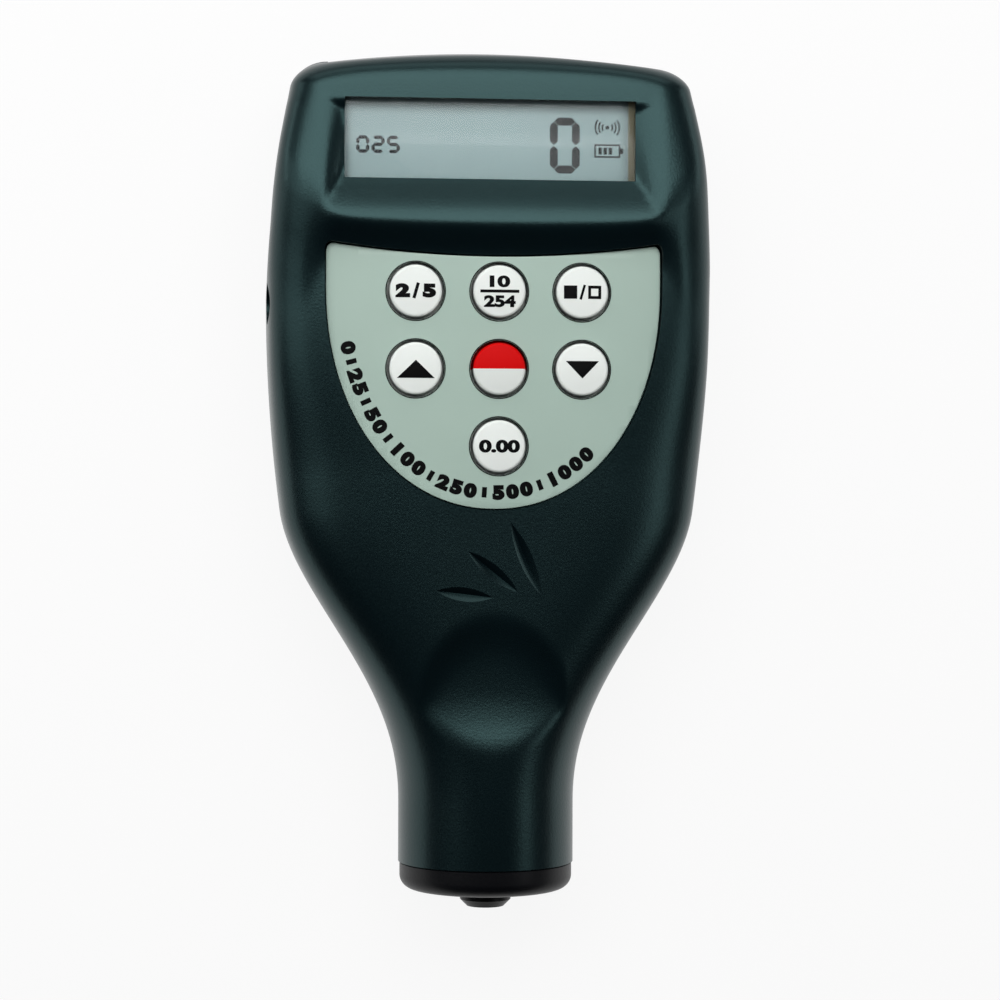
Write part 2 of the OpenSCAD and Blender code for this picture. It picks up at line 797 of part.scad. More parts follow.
// The rib that steadies the probe housing in the neck.
module rib_ring() {
    rotate_extrude()
        translate([tube_r + tube_wall + fit_gap, shoulder_lo + 3])
            square([neck_r - 1 - tube_r - tube_wall - fit_gap, 2]);
}

module rear_shell() {
    color("darkslategray")
        difference() {
            union() {
                difference() {
                    half_form(-1, 0, 2, 0);
                    half_form(-1, wall, 1, past);
                }
                block(
                    -bay_x - bay_wall, bay_x + bay_wall, bay_lo - bay_wall, bay_hi + bay_wall,
                    ledge_z, bay_ceiling + bay_wall
                );
                block(
                    -door_x - tongue_w - rail_w, door_x + tongue_w + rail_w,
                    door_lo - bay_wall, bay_hi + bay_wall, wall / 2, ledge_z + ledge_t
                );
                block(
                    -door_x - tongue_w, door_x + tongue_w,
                    bay_hi, top_y - wall - ledge_t / 2, ledge_z, ledge_z + ledge_t
                );
                for (b = BOSSES)
                    pillar(b[0], b[1], wall / 2, axis_z, boss_r);
                intersection() {
                    along_axis()
                        rib_ring();
                    block(-neck_r, neck_r, seam_y, dent_y, 0, axis_z);
                }
            }
            block(-body_w, body_w, -total_len, total_len, -reach, 0);
            block(-bay_x, bay_x, bay_lo, bay_hi, -past, bay_ceiling);
            block(
                -door_x - slide_gap, door_x + slide_gap,
                door_lo - fit_gap, top_y + past, -past, ledge_z
            );
            block(
                -door_x - tongue_w - slide_gap, door_x + tongue_w + slide_gap,
                door_lo - fit_gap, top_y + past, door_t / 2 - slide_gap, ledge_z
            );
            for (b = BOSSES) {
                pillar(b[0], b[1], -past, screw_seat, screw_head_d / 2 + fit_gap);
                pillar(b[0], b[1], 0, axis_z + past, screw_d / 2 + fit_gap);
            }
        }
}

module battery_door() {
    color("dimgray")
        difference() {
            intersection() {
                half_form(-1, 0, 2, 0);
                union() {
                    block(-door_x, door_x, door_lo, top_y + past, 0, door_t);
                    block(
                        -door_x - tongue_w, door_x + tongue_w, door_lo, top_y + past,
                        door_t / 2, door_t
                    );
                }
            }
            for (i = [0:grip_count - 1])
                translate([-door_x / 2, door_lo + grip_start + i * grip_pitch, -grip_r / 2])
                    rotate([0, 90, 0])
                        cylinder(h = door_x, r = grip_r);
        }
}

module case_screws() {
    color("silver")
        for (b = BOSSES) {
            head_hi = screw_seat - seat_gap;
            pillar(b[0], b[1], head_hi - screw_head_h, head_hi, screw_head_d / 2);
            pillar(b[0], b[1], head_hi - screw_head_h / 2, head_hi + screw_len, screw_d / 2);
        }
}

// Display

module lcd_window() {
    color("lightblue", 0.5)
        translate([window_x, window_y, 0])
            block(
                -lens_w / 2, lens_w / 2, -lens_h / 2, lens_h / 2,
                lens_z - seat_gap / 2 - lens_t, lens_z - seat_gap / 2
            );
}

module lcd_glass() {
    color("cadetblue")
        translate([window_x, window_y, 0])
            block(-lcd_w / 2, lcd_w / 2, -lcd_h / 2, lcd_h / 2, lcd_lo, lcd_hi);
}

module lcd_frame() {
    w = lcd_w / 2 + fit_gap;
    h = lcd_h / 2 + fit_gap;
    color("gray")
        translate([window_x, window_y, 0])
            difference() {
                block(
                    -w - carrier_wall, w + carrier_wall, -h - carrier_wall, h + carrier_wall,
                    board_hi + seat_gap, lcd_hi
                );
                block(-w, w, -h, h, lcd_lo - seat_gap, lcd_hi + past);
                block(
                    -w + carrier_ledge, w - carrier_ledge, -h, h,
                    board_hi - past, lcd_hi + past
                );
            }
}

module contact_strips() {
    w = lcd_w / 2 - carrier_ledge - fit_gap;
    color("pink")
        translate([window_x, window_y, 0])
            for (s = [-1, 1])
                translate([0, s * (lcd_h - strip_w) / 2, 0])
                    block(-w, w, -strip_w / 2, strip_w / 2, board_hi + seat_gap, lcd_lo - seat_gap);
}

// Board

module main_board() {
    color("green")
        difference() {
            block(-board_w / 2, board_w / 2, board_lo_y, board_hi_y, board_z, board_hi);
            for (b = BOSSES)
                pillar(b[0], b[1], 0, reach, boss_r + fit_gap);
            block(
                -body_w, -board_w / 2 + jack_len, jack_y - jack_body / 2 - fit_gap,
                jack_y + jack_body / 2 + fit_gap, 0, reach
            );
        }
}

// Chips and a crystal beside the keys' right column, capacitors beside the left one, and the
// plug of the probe leads at the lower edge.
module board_parts() {
    z0 = board_hi + seat_gap;
    color("black") {
        for (chip = [[0.5, chip_w, chip_t], [1.4, 1.4 * chip_w, chip_t]])
            translate([parts_x, key_row_y - chip[0] * key_pitch_y, z0])
                block(-chip_w / 2, chip_w / 2, -chip[1] / 2, chip[1] / 2, 0, chip[2]);
        for (i = [1, 2])
            pillar(-parts_x, key_row_y - (i - 0.2) * key_pitch_y, z0, z0 + capacitor_h, capacitor_d / 2);
        translate([parts_x, key_row_y - 2.2 * key_pitch_y, z0 + crystal_d / 2])
            rotate([90, 0, 0])
                cylinder(h = 2 * crystal_d, d = crystal_d, center = true);
        block(
            -2 * lead_pitch, 2 * lead_pitch, board_lo_y + plug_edge, board_lo_y + plug_edge + plug_t,
            z0, z0 + plug_h
        );
    }
}

module data_jack() {
    nose_x = -half_width(jack_y) + jack_sink;
    body_x = -board_w / 2 - seat_gap;
    color("black")
        difference() {
            union() {
                translate([nose_x, jack_y, jack_z])
                    rotate([0, 90, 0])
                        cylinder(h = body_x - nose_x + past, r = jack_nose_d / 2);
                block(
                    body_x, body_x + jack_len, jack_y - jack_body / 2, jack_y + jack_body / 2,
                    jack_z - jack_body / 2, jack_z + jack_body / 2
                );
            }
            translate([nose_x - past, jack_y, jack_z])
                rotate([0, 90, 0])
                    cylinder(h = jack_depth + past, r = jack_bore / 2);
        }
}

// Battery bay

function cell_x(i) = (i - 1.5) * (cell_d + cell_gap);
function cell_way(i) = i % 2 == 0 ? 1 : -1;

// Places a shape drawn along Z on a cell's axis, from the end with the spring.
module at_cell(i) {
    translate([cell_x(i), bay_mid - cell_way(i) * bay_len / 2, cell_z])
        rotate([-90 * cell_way(i), 0, 0])
            children();
}

module battery(i) {
    start = plate_t + cell_spring + 2 * seat_gap;
    color("goldenrod")
        at_cell(i) {
            translate([0, 0, start])
                cylinder(h = cell_l - nub_h, r = cell_d / 2);
            translate([0, 0, start + cell_l - nub_h - nub_h])
                cylinder(h = 2 * nub_h, r = nub_d / 2);
        }
}

module battery_springs() {
    color("silver")
        for (i = [0:3])
            at_cell(i)
                translate([0, 0, plate_t + seat_gap + seat_gap / 2])
                    coil(0.34 * cell_d, 0.2 * cell_d, spring_wire, cell_spring, 4);
}

// Plates behind the cells: each runs from one cell to another and joins their ends.
module contact_plates() {
    z = 0.38 * cell_d;
    color("silver") {
        for (p = [[0, 1], [2, 3]])
            block(
                cell_x(p[0]) - z, cell_x(p[1]) + z, bay_lo + seat_gap, bay_lo + seat_gap + plate_t,
                cell_z - z, cell_z + z
            );
        for (p = [[0, 0], [1, 2], [3, 3]])
            block(
                cell_x(p[0]) - z, cell_x(p[1]) + z, bay_hi - seat_gap - plate_t, bay_hi - seat_gap,
                cell_z - z, cell_z + z
            );
    }
}

// Nose

module end_cap() {
    r = cap_d / 2;
    top = seam_y - seat_gap;
    color("black")
        along_axis()
            rotate_extrude()
                difference() {
                    union() {
                        translate([0, cap_lo + cap_round])
                            square([r, top - cap_lo - cap_round]);
                        translate([0, cap_lo])
                            square([r - cap_round, cap_round + past]);
                        translate([r - cap_round, cap_lo + cap_round])
                            circle(r = cap_round);
                        translate([0, cap_lo + cap_round])
                            square([neck_r - wall - fit_gap, seam_y + spigot_len - cap_lo - cap_round]);
                    }
                    translate([-r, cap_lo - past])
                        square([r + probe_d / 2 + slide_gap, cap_floor + 2 * past]);
                    translate([-r, floor_y])
                        square([r + tube_r + tube_wall + slide_gap, reach]);
                }
}

module probe_housing() {
    y0 = floor_y + seat_gap;
    color("dimgray")
        along_axis()
            rotate_extrude()
                difference() {
                    translate([lead_d / 2 + fit_gap, y0])
                        square([tube_r + tube_wall - lead_d / 2 - fit_gap, tube_len + tube_wall]);
                    translate([0, y0 - past])
                        square([tube_r, tube_len + past]);
                }
}

module probe_sleeve() {
    nose_y = cap_lo - probe_out + tip_out;
    lip_y = floor_y + seat_gap;
    core_r = core_d / 2 + slide_gap;
    coil_r = core_d / 2 + coil_t + 2 * slide_gap;
    color("black")
        along_axis()
            rotate_extrude()
                polygon([
                    [core_r, nose_y],
                    [probe_d / 2 - probe_chamfer, nose_y],
                    [probe_d / 2, nose_y + probe_chamfer],
                    [probe_d / 2, lip_y],
                    [lip_r, lip_y],
                    [lip_r, lip_y + probe_lip_t],
                    [probe_d / 2, lip_y + probe_lip_t],
                    [probe_d / 2, sleeve_end],
                    [coil_r, sleeve_end],
                    [coil_r, sleeve_end - coil_len - seat_gap],
                    [core_r, sleeve_end - coil_len - seat_gap]
                ]);
}

module probe_core() {
    tip_y = cap_lo - probe_out;
    r = core_d / 2;
    color("silver")
        along_axis() {
            translate([0, 0, tip_y + r])
                cylinder(h = sleeve_end - tip_y - r, r = r);
            translate([0, 0, tip_y + r])
                sphere(r = r);
        }
}

module probe_coil() {
    color("orange")
        along_axis()
            rotate_extrude()
                translate([core_d / 2 + slide_gap, sleeve_end - coil_len])
                    square([coil_t, coil_len]);
}

module probe_spring() {
    y0 = floor_y + seat_gap + probe_lip_t + seat_gap / 2;
    y1 = tube_hi - seat_gap / 2;
    mean = (probe_d / 2 + tube_r) / 2;
    color("silver")
        along_axis()
            translate([0, 0, y0])
                coil(mean, mean, spring_wire, y1 - y0, spring_turns);
}

module probe_leads() {
    y0 = tube_hi + tube_wall + seat_gap;
    y1 = board_lo_y + plug_edge - seat_gap;
    z1 = board_hi + seat_gap + plug_h / 2;
    climb = atan((z1 - axis_z) / (y1 - y0));
    color("red")
        for (i = [-1:1])
            translate([i * lead_pitch, y0, axis_z])
                rotate([climb - 90, 0, 0])
                    cylinder(h = norm([y1 - y0, z1 - axis_z]), r = lead_d / 2);
}

front_shell();
rear_shell();
end_cap();
key_panel();
lcd_window();
lcd_glass();
lcd_frame();
contact_strips();
for (k = KEYS)
    key(k);
key_mat();
main_board();
board_parts();
data_jack();
battery_door();
for (i = [0:3])
    battery(i);
battery_springs();
contact_plates();
case_screws();
probe_housing();
probe_sleeve();
probe_core();
probe_coil();
probe_spring();
probe_leads();
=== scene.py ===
# %% [markdown]
# A handheld coating gauge, dressed for its portrait. The imported CAD part is the fixed frame: it
# says where every piece is and how big it is. This lesson models the visible pieces again as smooth
# meshes, gives each surface a finish, and sets up a studio. We start by loading the frame, whose
# boxes give the sizes.

# %% Load the frame
import math

import bmesh
import bpy
import numpy as np
from mathutils import Matrix, Vector


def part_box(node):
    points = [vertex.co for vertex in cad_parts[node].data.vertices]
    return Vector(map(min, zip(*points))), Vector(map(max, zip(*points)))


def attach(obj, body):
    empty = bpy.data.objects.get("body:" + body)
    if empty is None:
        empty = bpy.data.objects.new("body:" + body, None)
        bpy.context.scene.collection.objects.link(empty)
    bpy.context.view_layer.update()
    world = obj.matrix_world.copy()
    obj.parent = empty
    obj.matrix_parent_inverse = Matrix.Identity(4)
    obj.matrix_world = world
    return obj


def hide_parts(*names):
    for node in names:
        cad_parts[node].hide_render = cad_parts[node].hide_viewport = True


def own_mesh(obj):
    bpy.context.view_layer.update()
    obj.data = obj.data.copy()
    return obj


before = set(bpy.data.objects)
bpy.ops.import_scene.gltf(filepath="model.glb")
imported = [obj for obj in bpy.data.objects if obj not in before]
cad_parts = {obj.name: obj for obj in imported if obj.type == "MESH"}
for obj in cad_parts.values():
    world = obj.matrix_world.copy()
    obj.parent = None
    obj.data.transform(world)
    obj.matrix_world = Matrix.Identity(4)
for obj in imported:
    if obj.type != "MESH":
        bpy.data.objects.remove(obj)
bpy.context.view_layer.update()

MM = 0.001
HOUSING, PROBE, DOOR = "housing", "probe", "door"

# %% [markdown]
# Most sizes can be read from the frame. A node's box tells where a shell ends, where a key's middle
# is and how high the display lies. Working in millimetres keeps the numbers readable, so one small
# function turns a box into millimetres.

# %% Read sizes from the frame
def box_mm(node):
    low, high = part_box(node)
    return low / MM, high / MM


def middle_mm(node):
    low, high = box_mm(node)
    return (low + high) / 2


front_low, front_high = box_mm("front_shell")
seam_y = front_low.y
top_y = front_high.y
axis_z = front_low.z
hood_z = front_high.z
cap_low, cap_high = box_mm("end_cap")
lens_low, lens_high = box_mm("lcd_window")
glass_low, glass_high = box_mm("lcd_glass")
panel_low, panel_high = box_mm("key_panel")
UNDER_KEYS = ("key_panel", "key_mat")
KEYS = [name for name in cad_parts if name.startswith("key_") and name not in UNDER_KEYS]
print("housing from y", round(seam_y, 2), "to", round(top_y, 2), "parts at z", round(axis_z, 2))

# %% [markdown]
# The body is a loft: a half section that changes along the gauge. Each section is a superellipse,
# an ellipse whose power makes it squarer. At the neck the power is 2 and the section is a true
# half circle; at the hood it is 7 and nearly a box. Widths and lengths repeat the solid's design.
# The powers and the hood's bends were tuned until reflections ran as on the real shell.

# %% Sizes of the loft
body_w = 65.0
top_w = 57.2
widest_drop = 36.3
side_bow = 1.25
shoulder_w = 60.8
shoulder_len = 42.6
neck_len = 9.0
neck_r = 12.9
wall = 2.0
corner_r = 5.0
face_edge = 3.0
back_edge = 5.0
top_sag = 1.6
top_lean = 1.6
key_power = 3.4
cheek_power = 5.0
hood_power = 7.0
back_power = 5.0
back_flat = 0.9
hood_rise = 1.8
hood_fall = 2.2
hood_len = 25.9
hood_slope = 5.4
hood_sag = 1.5
hood_corner = 9.0
corner_power = 10
cheek_len = 25.0
ridge_fade = 16.0
fade_from = 0.7
fade_span = 0.16
fade_down = 9.0
fade_len = 14.0

shoulder_lo = seam_y + neck_len
shoulder_hi = shoulder_lo + shoulder_len
widest_y = top_y - widest_drop
hood_hi = top_y - hood_len
hood_lo = hood_hi - hood_slope
key_z = hood_z - hood_rise
back_depth = axis_z + back_flat
FACE, BACK = 1, -1


def ease(t):
    t = np.clip(t, 0.0, 1.0)
    return t * t * (3 - 2 * t)


def mix(a, b, t):
    return a + (b - a) * t


def on_shoulder(y):
    return ease((y - shoulder_lo) / shoulder_len)


def on_hood(y):
    return ease((y - hood_lo) / hood_slope)


def half_width(y):
    away = y - widest_y
    upper = (body_w - top_w) / 2 * (max(0, away) / widest_drop) ** side_bow
    lower = (body_w - shoulder_w) / 2 * (away / (widest_y - shoulder_hi)) ** 2
    return mix(neck_r, body_w / 2 - (upper if away > 0 else lower), on_shoulder(y))


def hood_height(y):
    return hood_rise - hood_fall * min(1.0, max(0.0, (y - hood_hi) / hood_len))


def low_face(y):
    power = mix(key_power, cheek_power, ease(y / cheek_len))
    return mix(neck_r, key_z - axis_z, on_shoulder(y)), mix(2, power, on_shoulder(y))


def depth_and_power(side, y):
    if side == FACE:
        depth, power = low_face(y)
        return depth + hood_height(y) * on_hood(y), mix(power, hood_power, on_hood(y))
    return mix(neck_r, back_depth, on_shoulder(y)), mix(2, back_power, on_shoulder(y))


print("half width where it is greatest:", round(half_width(widest_y), 2), "mm")

# %% [markdown]
# One section becomes a row of points. If the points were spread by angle, a square section would
# crowd them in its corners and leave its flats bare. So the curve is walked first, and the points
# are then set at equal steps along it. Three bends shape the hood: the top edge arches, the top end
# leans back towards the face, and the ridge under the display turns up at its ends. Towards its
# sides the step up to the hood grows longer and softer, so that it fades into the cheeks.

# %% One section of the loft
def arch_bend(y):
    return -top_sag * min(1.0, max(0.0, (y - hood_lo) / (top_y - hood_lo)))


def lean_bend(y):
    lean_y = top_y - 2 * corner_r
    return -top_lean * min(1.0, max(0.0, (y - lean_y) / (top_y - lean_y)))


def hood_bend(y):
    if y > hood_hi:
        return ease((top_y - y) / (top_y - hood_hi))
    return ease((y - hood_lo + ridge_fade) / ridge_fade)


def face_rise(y, u, drop):
    depth, power = low_face(y)
    low = (depth - drop) * (1 - np.abs(u) ** power) ** (1 / power)
    high = (depth + hood_height(y) - drop) * (1 - np.abs(u) ** hood_power) ** (1 / hood_power)
    fade = ease((np.abs(u) - fade_from) / fade_span)
    return mix(low, high, ease((y - hood_lo + fade_down * fade) / (hood_slope + fade_len * fade)))


def section(side, y, turn, inset, count):
    lift = 1 - math.cos(turn)
    edge = face_edge if side == FACE else back_edge
    depth, power = depth_and_power(side, y)
    w = half_width(y) - inset - max(corner_r - inset, 1.0) * lift
    drop = inset + max(edge - inset, 0.5) * lift
    d = depth - drop
    angle = np.linspace(0, math.pi, 4001)
    u = np.sign(np.cos(angle)) * np.abs(np.cos(angle)) ** (2 / power)
    v = np.abs(np.sin(angle)) ** (2 / power)
    steps = np.hypot(np.diff(w * u), np.diff(d * v))
    walked = np.concatenate([[0], np.cumsum(steps)])
    stops = np.linspace(0, walked[-1], count + 1)
    u, v = np.interp(stops, walked, u), np.interp(stops, walked, v)
    ridge = hood_bend(y) * (hood_sag * u**2 + hood_corner * u**corner_power)
    front = (ridge + lean_bend(y)) * v if side == FACE else 0 * v
    rise = face_rise(y, u, drop) if side == FACE else -d * v
    return np.stack([w * u, y + arch_bend(y) * u**2 + front, axis_z + rise], axis=1)


def stations(inset, step, fine_step):
    round_r = max(corner_r - inset, 1.0)
    start = top_y - inset - round_r
    low = np.arange(seam_y, hood_lo - hood_slope, step)
    high = np.linspace(low[-1], start, 1 + math.ceil((start - low[-1]) / fine_step))[1:]
    turns = np.linspace(0, math.pi / 2, 15)[1:]
    return [(y, 0.0) for y in [*low, *high]] + [(start + round_r * math.sin(t), t) for t in turns]


print("a section at the keys starts at", section(FACE, 15.0, 0.0, 0.0, 8)[0].round(2))

# %% [markdown]
# A finished mesh goes through one short function: it is brought from millimetres to metres, becomes
# an object at the origin, rides on its body, and hides the solid it stands for.
# Smooth shading with sharp edges by angle keeps broad curves soft and cut edges crisp. Three small
# helpers beside it move, turn and bevel a mesh.

# %% Finishing a piece
SHARP = math.radians(32)
CRISP = math.radians(25)


def new_object(name, bm):
    mesh = bpy.data.meshes.new(name)
    bm.to_mesh(mesh)
    bm.free()
    obj = bpy.data.objects.new(name, mesh)
    bpy.context.scene.collection.objects.link(obj)
    return obj


def piece(name, bm, material, body, replaces=(), sharp=SHARP):
    bmesh.ops.scale(bm, vec=(MM, MM, MM), verts=bm.verts)
    obj = new_object(name, bm)
    obj.data.shade_smooth()
    obj.data.set_sharp_from_angle(angle=sharp)
    obj.data.materials.append(material)
    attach(obj, body)
    if replaces:
        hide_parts(*replaces)
    print(f"{name}: {len(obj.data.polygons)} faces")
    return obj


def shift(bm, *vec):
    bmesh.ops.translate(bm, vec=vec, verts=bm.verts)


def turn(bm, matrix):
    bmesh.ops.rotate(bm, cent=(0, 0, 0), matrix=matrix, verts=bm.verts)


def soften(bm, geom, offset, segments=2, affect="EDGES"):
    bmesh.ops.bevel(
        bm, geom=geom, offset=offset, segments=segments, profile=0.5, affect=affect, material=-1
    )


print("edges count as sharp above", round(math.degrees(SHARP)), "degrees")

# %% [markdown]
# Every finish is a Principled shader with procedural detail on Object coordinates. Real surfaces
# are never one flat colour: a moulded shell has a fine grain, a print has a faint mottle. The same
# small recipe serves all of them: two noises, one broad for colour and one fine for gloss and bump.

# %% A recipe for finishes
def plug(tree, socket, value):
    if isinstance(value, bpy.types.NodeSocket):
        tree.links.new(value, socket)
    else:
        socket.default_value = value


def plug_all(tree, shader, **inputs):
    for name, value in inputs.items():
        plug(tree, shader.inputs[name.replace("_", " ")], value)


def node(tree, kind, **inputs):
    made = tree.nodes.new("ShaderNode" + kind)
    plug_all(tree, made, **inputs)
    return made


def node_material(name):
    material = bpy.data.materials.new(name)
    material.use_nodes = True
    return material, material.node_tree, material.node_tree.nodes["Principled BSDF"]


def finish(name, colour, rough, grain=2500.0, bump=0.1, mottle=0.06, rough_span=0.08, **sockets):
    material, tree, shader = node_material(name)
    where = node(tree, "TexCoord").outputs["Object"]
    broad = node(tree, "TexNoise", Vector=where, Scale=grain / 25, Detail=4).outputs["Fac"]
    fine = node(tree, "TexNoise", Vector=where, Scale=grain, Detail=3).outputs["Fac"]
    tint = node(tree, "ValToRGB", Fac=broad)
    stops = zip(tint.color_ramp.elements, (0.3, 0.7), (1 - mottle, 1 + mottle))
    for stop, place, share in stops:
        stop.position = place
        stop.color = [min(1, c * share) for c in colour] + [1]
    gloss = node(tree, "MapRange", Value=fine, To_Min=rough - rough_span, To_Max=rough + rough_span)
    relief = node(tree, "Bump", Strength=bump, Distance=0.1 * MM, Height=fine)
    plug_all(
        tree, shader, Base_Color=tint.outputs["Color"], Roughness=gloss.outputs["Result"],
        Normal=relief.outputs["Normal"], **sockets,
    )
    return material


def srgb(r, g, b):
    return [(c / 255 / 12.92) if c <= 10 else ((c / 255 + 0.055) / 1.055) ** 2.4 for c in (r, g, b)]


housing_plastic = finish(
    "housing_plastic", srgb(2, 9, 14), 0.31, grain=3000, bump=0.2, mottle=0.1, rough_span=0.05,
    Specular_Tint=(0.53, 1.0, 1.0, 1.0),
)
nose_plastic = finish(
    "nose_plastic", srgb(6, 7, 11), 0.4, grain=3000, bump=0.15, Specular_IOR_Level=0.25
)
panel_film = finish(
    "panel_film", srgb(172, 194, 183), 0.34, grain=1800, bump=0.03, mottle=0.02,
    Specular_IOR_Level=0.3,
)
key_plastic = finish(
    "key_plastic", srgb(240, 245, 241), 0.45, bump=0.04, mottle=0.015, Specular_IOR_Level=0.25
)
# Black ink for the print. It also colours the key film's cut edges, as painted shade in the gaps
# round the film.
print_ink_and_gap_shade = finish(
    "print_ink_and_gap_shade", srgb(3, 3, 4), 0.5, grain=4000, bump=0.05, mottle=0.15, Specular_IOR_Level=0.08
)
print("finishes:", len(bpy.data.materials))

# %% [markdown]
# The front shell is the heart of the gauge. Its outer skin is a grid whose rows are placed on the
# sections, with two soft forms pressed into it: the thumb dent and the bevel round the display. A
# smooth minimum joins each form to the skin with a small fillet, which a boolean cut can't give.
# The bevel sinks a little more on its left, and above the window it ends in a narrow shelf.

# %% Soft forms pressed into the face
window_w = 42.0
window_h = 11.5
bevel_w = 3.0
bevel_low_w = 4.6
bevel_depth = 2.2
bevel_fillet = 1.2
bevel_under = -0.5
shelf = 0.7
shelf_in = 0.12
shelf_fall = 3.0
left_sink, right_sink = 0.6, 0.3
dent_up = 27.6
dent_depth = 1.3
dent_rise = 8.2
dent_run = 10.0
dent_cross_r = 55.0
dent_hook, dent_curl = 0.085, 0.02
dent_round = 0.2
dent_fillet = 0.4

window_x = (lens_low.x + lens_high.x) / 2
window_y = (lens_low.y + lens_high.y) / 2
window_z = hood_z - bevel_depth
dent_y = seam_y + dent_up
dent_low_y = dent_y + 1.0


def smooth_min(a, b, fillet):
    h = min(1.0, max(0.0, 0.5 + 0.5 * (b - a) / fillet))
    return mix(b, a, h) - fillet * h * (1 - h)


def smooth_max(a, b, fillet):
    return -smooth_min(-a, -b, fillet)


def bevel_floor(x, y):
    beside = (abs(x - window_x) - window_w / 2) / bevel_w
    above = (y - window_y - window_h / 2) / bevel_w
    below = (window_y - window_h / 2 - y) / bevel_low_w
    rim_y = min(window_y + window_h / 2 + bevel_w, max(window_y - window_h / 2 - bevel_low_w, y))
    rise = key_z + hood_height(rim_y) - window_z
    step = mix(shelf, 1, -shelf_in) + shelf_fall * (above + shelf_in)
    above = mix(shelf, 1, above) if above > -shelf_in else step
    sink = left_sink if x < window_x else right_sink
    beside -= sink / rise * max(0.0, 1 - beside)
    return window_z + max(beside, above, below, bevel_under) * rise


def dent_floor(x, y):
    crest = axis_z + depth_and_power(FACE, dent_y)[0]
    over = max(0.0, y - dent_low_y + dent_hook * x * x) / dent_rise
    under = max(0.0, dent_low_y - dent_curl * x * x - y) / dent_run
    floor = crest - dent_depth * (1 - smooth_max(over**2, under**2, dent_round))
    return floor - x * x / (2 * dent_cross_r)


def press_face(point):
    x, y, z = point
    if abs(y - dent_y) < 2 * dent_run and z > axis_z + neck_r / 2:
        z = smooth_min(z, dent_floor(x, y), dent_fillet)
    if y > hood_lo and z > axis_z + neck_r / 2:
        z = smooth_min(z, bevel_floor(x, y), bevel_fillet)
    return Vector((x, y, z))


print("the dent is", round(dent_depth, 1), "mm deep at y", round(dent_low_y, 1))

# %% [markdown]
# A grid is the quickest start for a loft: it already has rows and columns, so each vertex only has
# to be moved to its section. The last row drops to the parting plane and closes the end. The inner
# skin is a second, coarser grid, and bridging their two rims gives the shell its wall.

# %% Lofting a shell
def loft_grid(bm, side, inset, across, step, fine_step, press=Vector):
    rows = [section(side, y, turn, inset, across) for y, turn in stations(inset, step, fine_step)]
    end_y = top_y - inset
    foot = rows[-1].copy()
    foot[:, 1] = end_y + arch_bend(end_y) * (foot[:, 0] / foot[0, 0]) ** 2
    foot[:, 2] = axis_z
    rows += [mix(rows[-1], foot, share) for share in (0.25, 0.5, 0.75, 1.0)]
    made = bmesh.ops.create_grid(bm, x_segments=across, y_segments=len(rows) - 1, size=1)
    for vert in made["verts"]:
        column = round((vert.co.x + 1) / 2 * across)
        row = round((vert.co.y + 1) / 2 * (len(rows) - 1))
        vert.co = press(rows[row][column])
    return made["verts"]


def press_inside(point):
    x, y, z = point
    lens_frame = 3.5
    away = max(abs(x - window_x) - window_w / 2, abs(y - window_y) - window_h / 2) - lens_frame
    if abs(y - dent_y) < 2 * dent_run and z > axis_z + neck_r / 2:
        z = min(z, dent_floor(x, y) - wall)
    if away < 4 and z > axis_z + neck_r / 2:
        z = min(z, lens_low.z - 0.15 + 2 * max(away, 0))
    return Vector((x, y, z))


def shell(side, across, step, fine_step, press_out=Vector, press_in=Vector, thick=wall):
    bm = bmesh.new()
    loft_grid(bm, side, 0.0, across, step, fine_step, press_out)
    loft_grid(bm, side, thick, across, step, fine_step, press_in)
    bmesh.ops.bridge_loops(bm, edges=[edge for edge in bm.edges if edge.is_boundary])
    bmesh.ops.recalc_face_normals(bm, faces=bm.faces)
    return bm


front = shell(FACE, 128, 0.8, 0.5, press_face, press_inside)
print("front shell:", len(front.faces), "faces, volume", round(front.calc_volume()), "mm3")

# %% [markdown]
# Openings with crisp edges are cut with booleans. A cutter is a small mesh of its own, made from a
# cube, a cone or an outline, and it is thrown away after the cut. The helper below stacks one
# Boolean modifier per cutter and reads back the finished mesh.

# %% Cutters and booleans
def block(x0, x1, y0, y1, z0, z1):
    bm = bmesh.new()
    bmesh.ops.create_cube(bm, size=1)
    bmesh.ops.scale(bm, vec=(x1 - x0, y1 - y0, z1 - z0), verts=bm.verts)
    shift(bm, (x0 + x1) / 2, (y0 + y1) / 2, (z0 + z1) / 2)
    return bm


def wide_block(half, *rest):
    return block(-half, half, *rest)


def rod(start, direction, length, r, segments=64):
    bm = bmesh.new()
    bmesh.ops.create_cone(bm, cap_ends=True, segments=segments, radius1=r, radius2=r, depth=length)
    shift(bm, 0, 0, length / 2)
    turn(bm, Vector(direction).to_track_quat("Z", "Y").to_matrix())
    shift(bm, *start)
    return bm


def combine(bm, steps):
    body = new_object("scratch", bm)
    tools = []
    for operation, tool in steps:
        tools.append(new_object("scratch", tool))
        modifier = body.modifiers.new("step", "BOOLEAN")
        modifier.operation = operation
        modifier.solver = "EXACT"
        modifier.object = tools[-1]
    graph = bpy.context.evaluated_depsgraph_get()
    mesh = bpy.data.meshes.new_from_object(body.evaluated_get(graph))
    result = bmesh.new()
    result.from_mesh(mesh)
    bpy.data.meshes.remove(mesh)
    for obj in [body, *tools]:
        old = obj.data
        bpy.data.objects.remove(obj)
        bpy.data.meshes.remove(old)
    return result


def cut(bm, cutters):
    return combine(bm, [("DIFFERENCE", cutter) for cutter in cutters])


print("cutters are ready")

# %% [markdown]
# The key panel lies in a shallow recess of the same outline. Its lower edge is half a superellipse
# and its upper edge a shallow arc, and the two upper corners are rounded by a vertex bevel. The
# sheet is split into small cells first, so that it can follow the crown of the face.

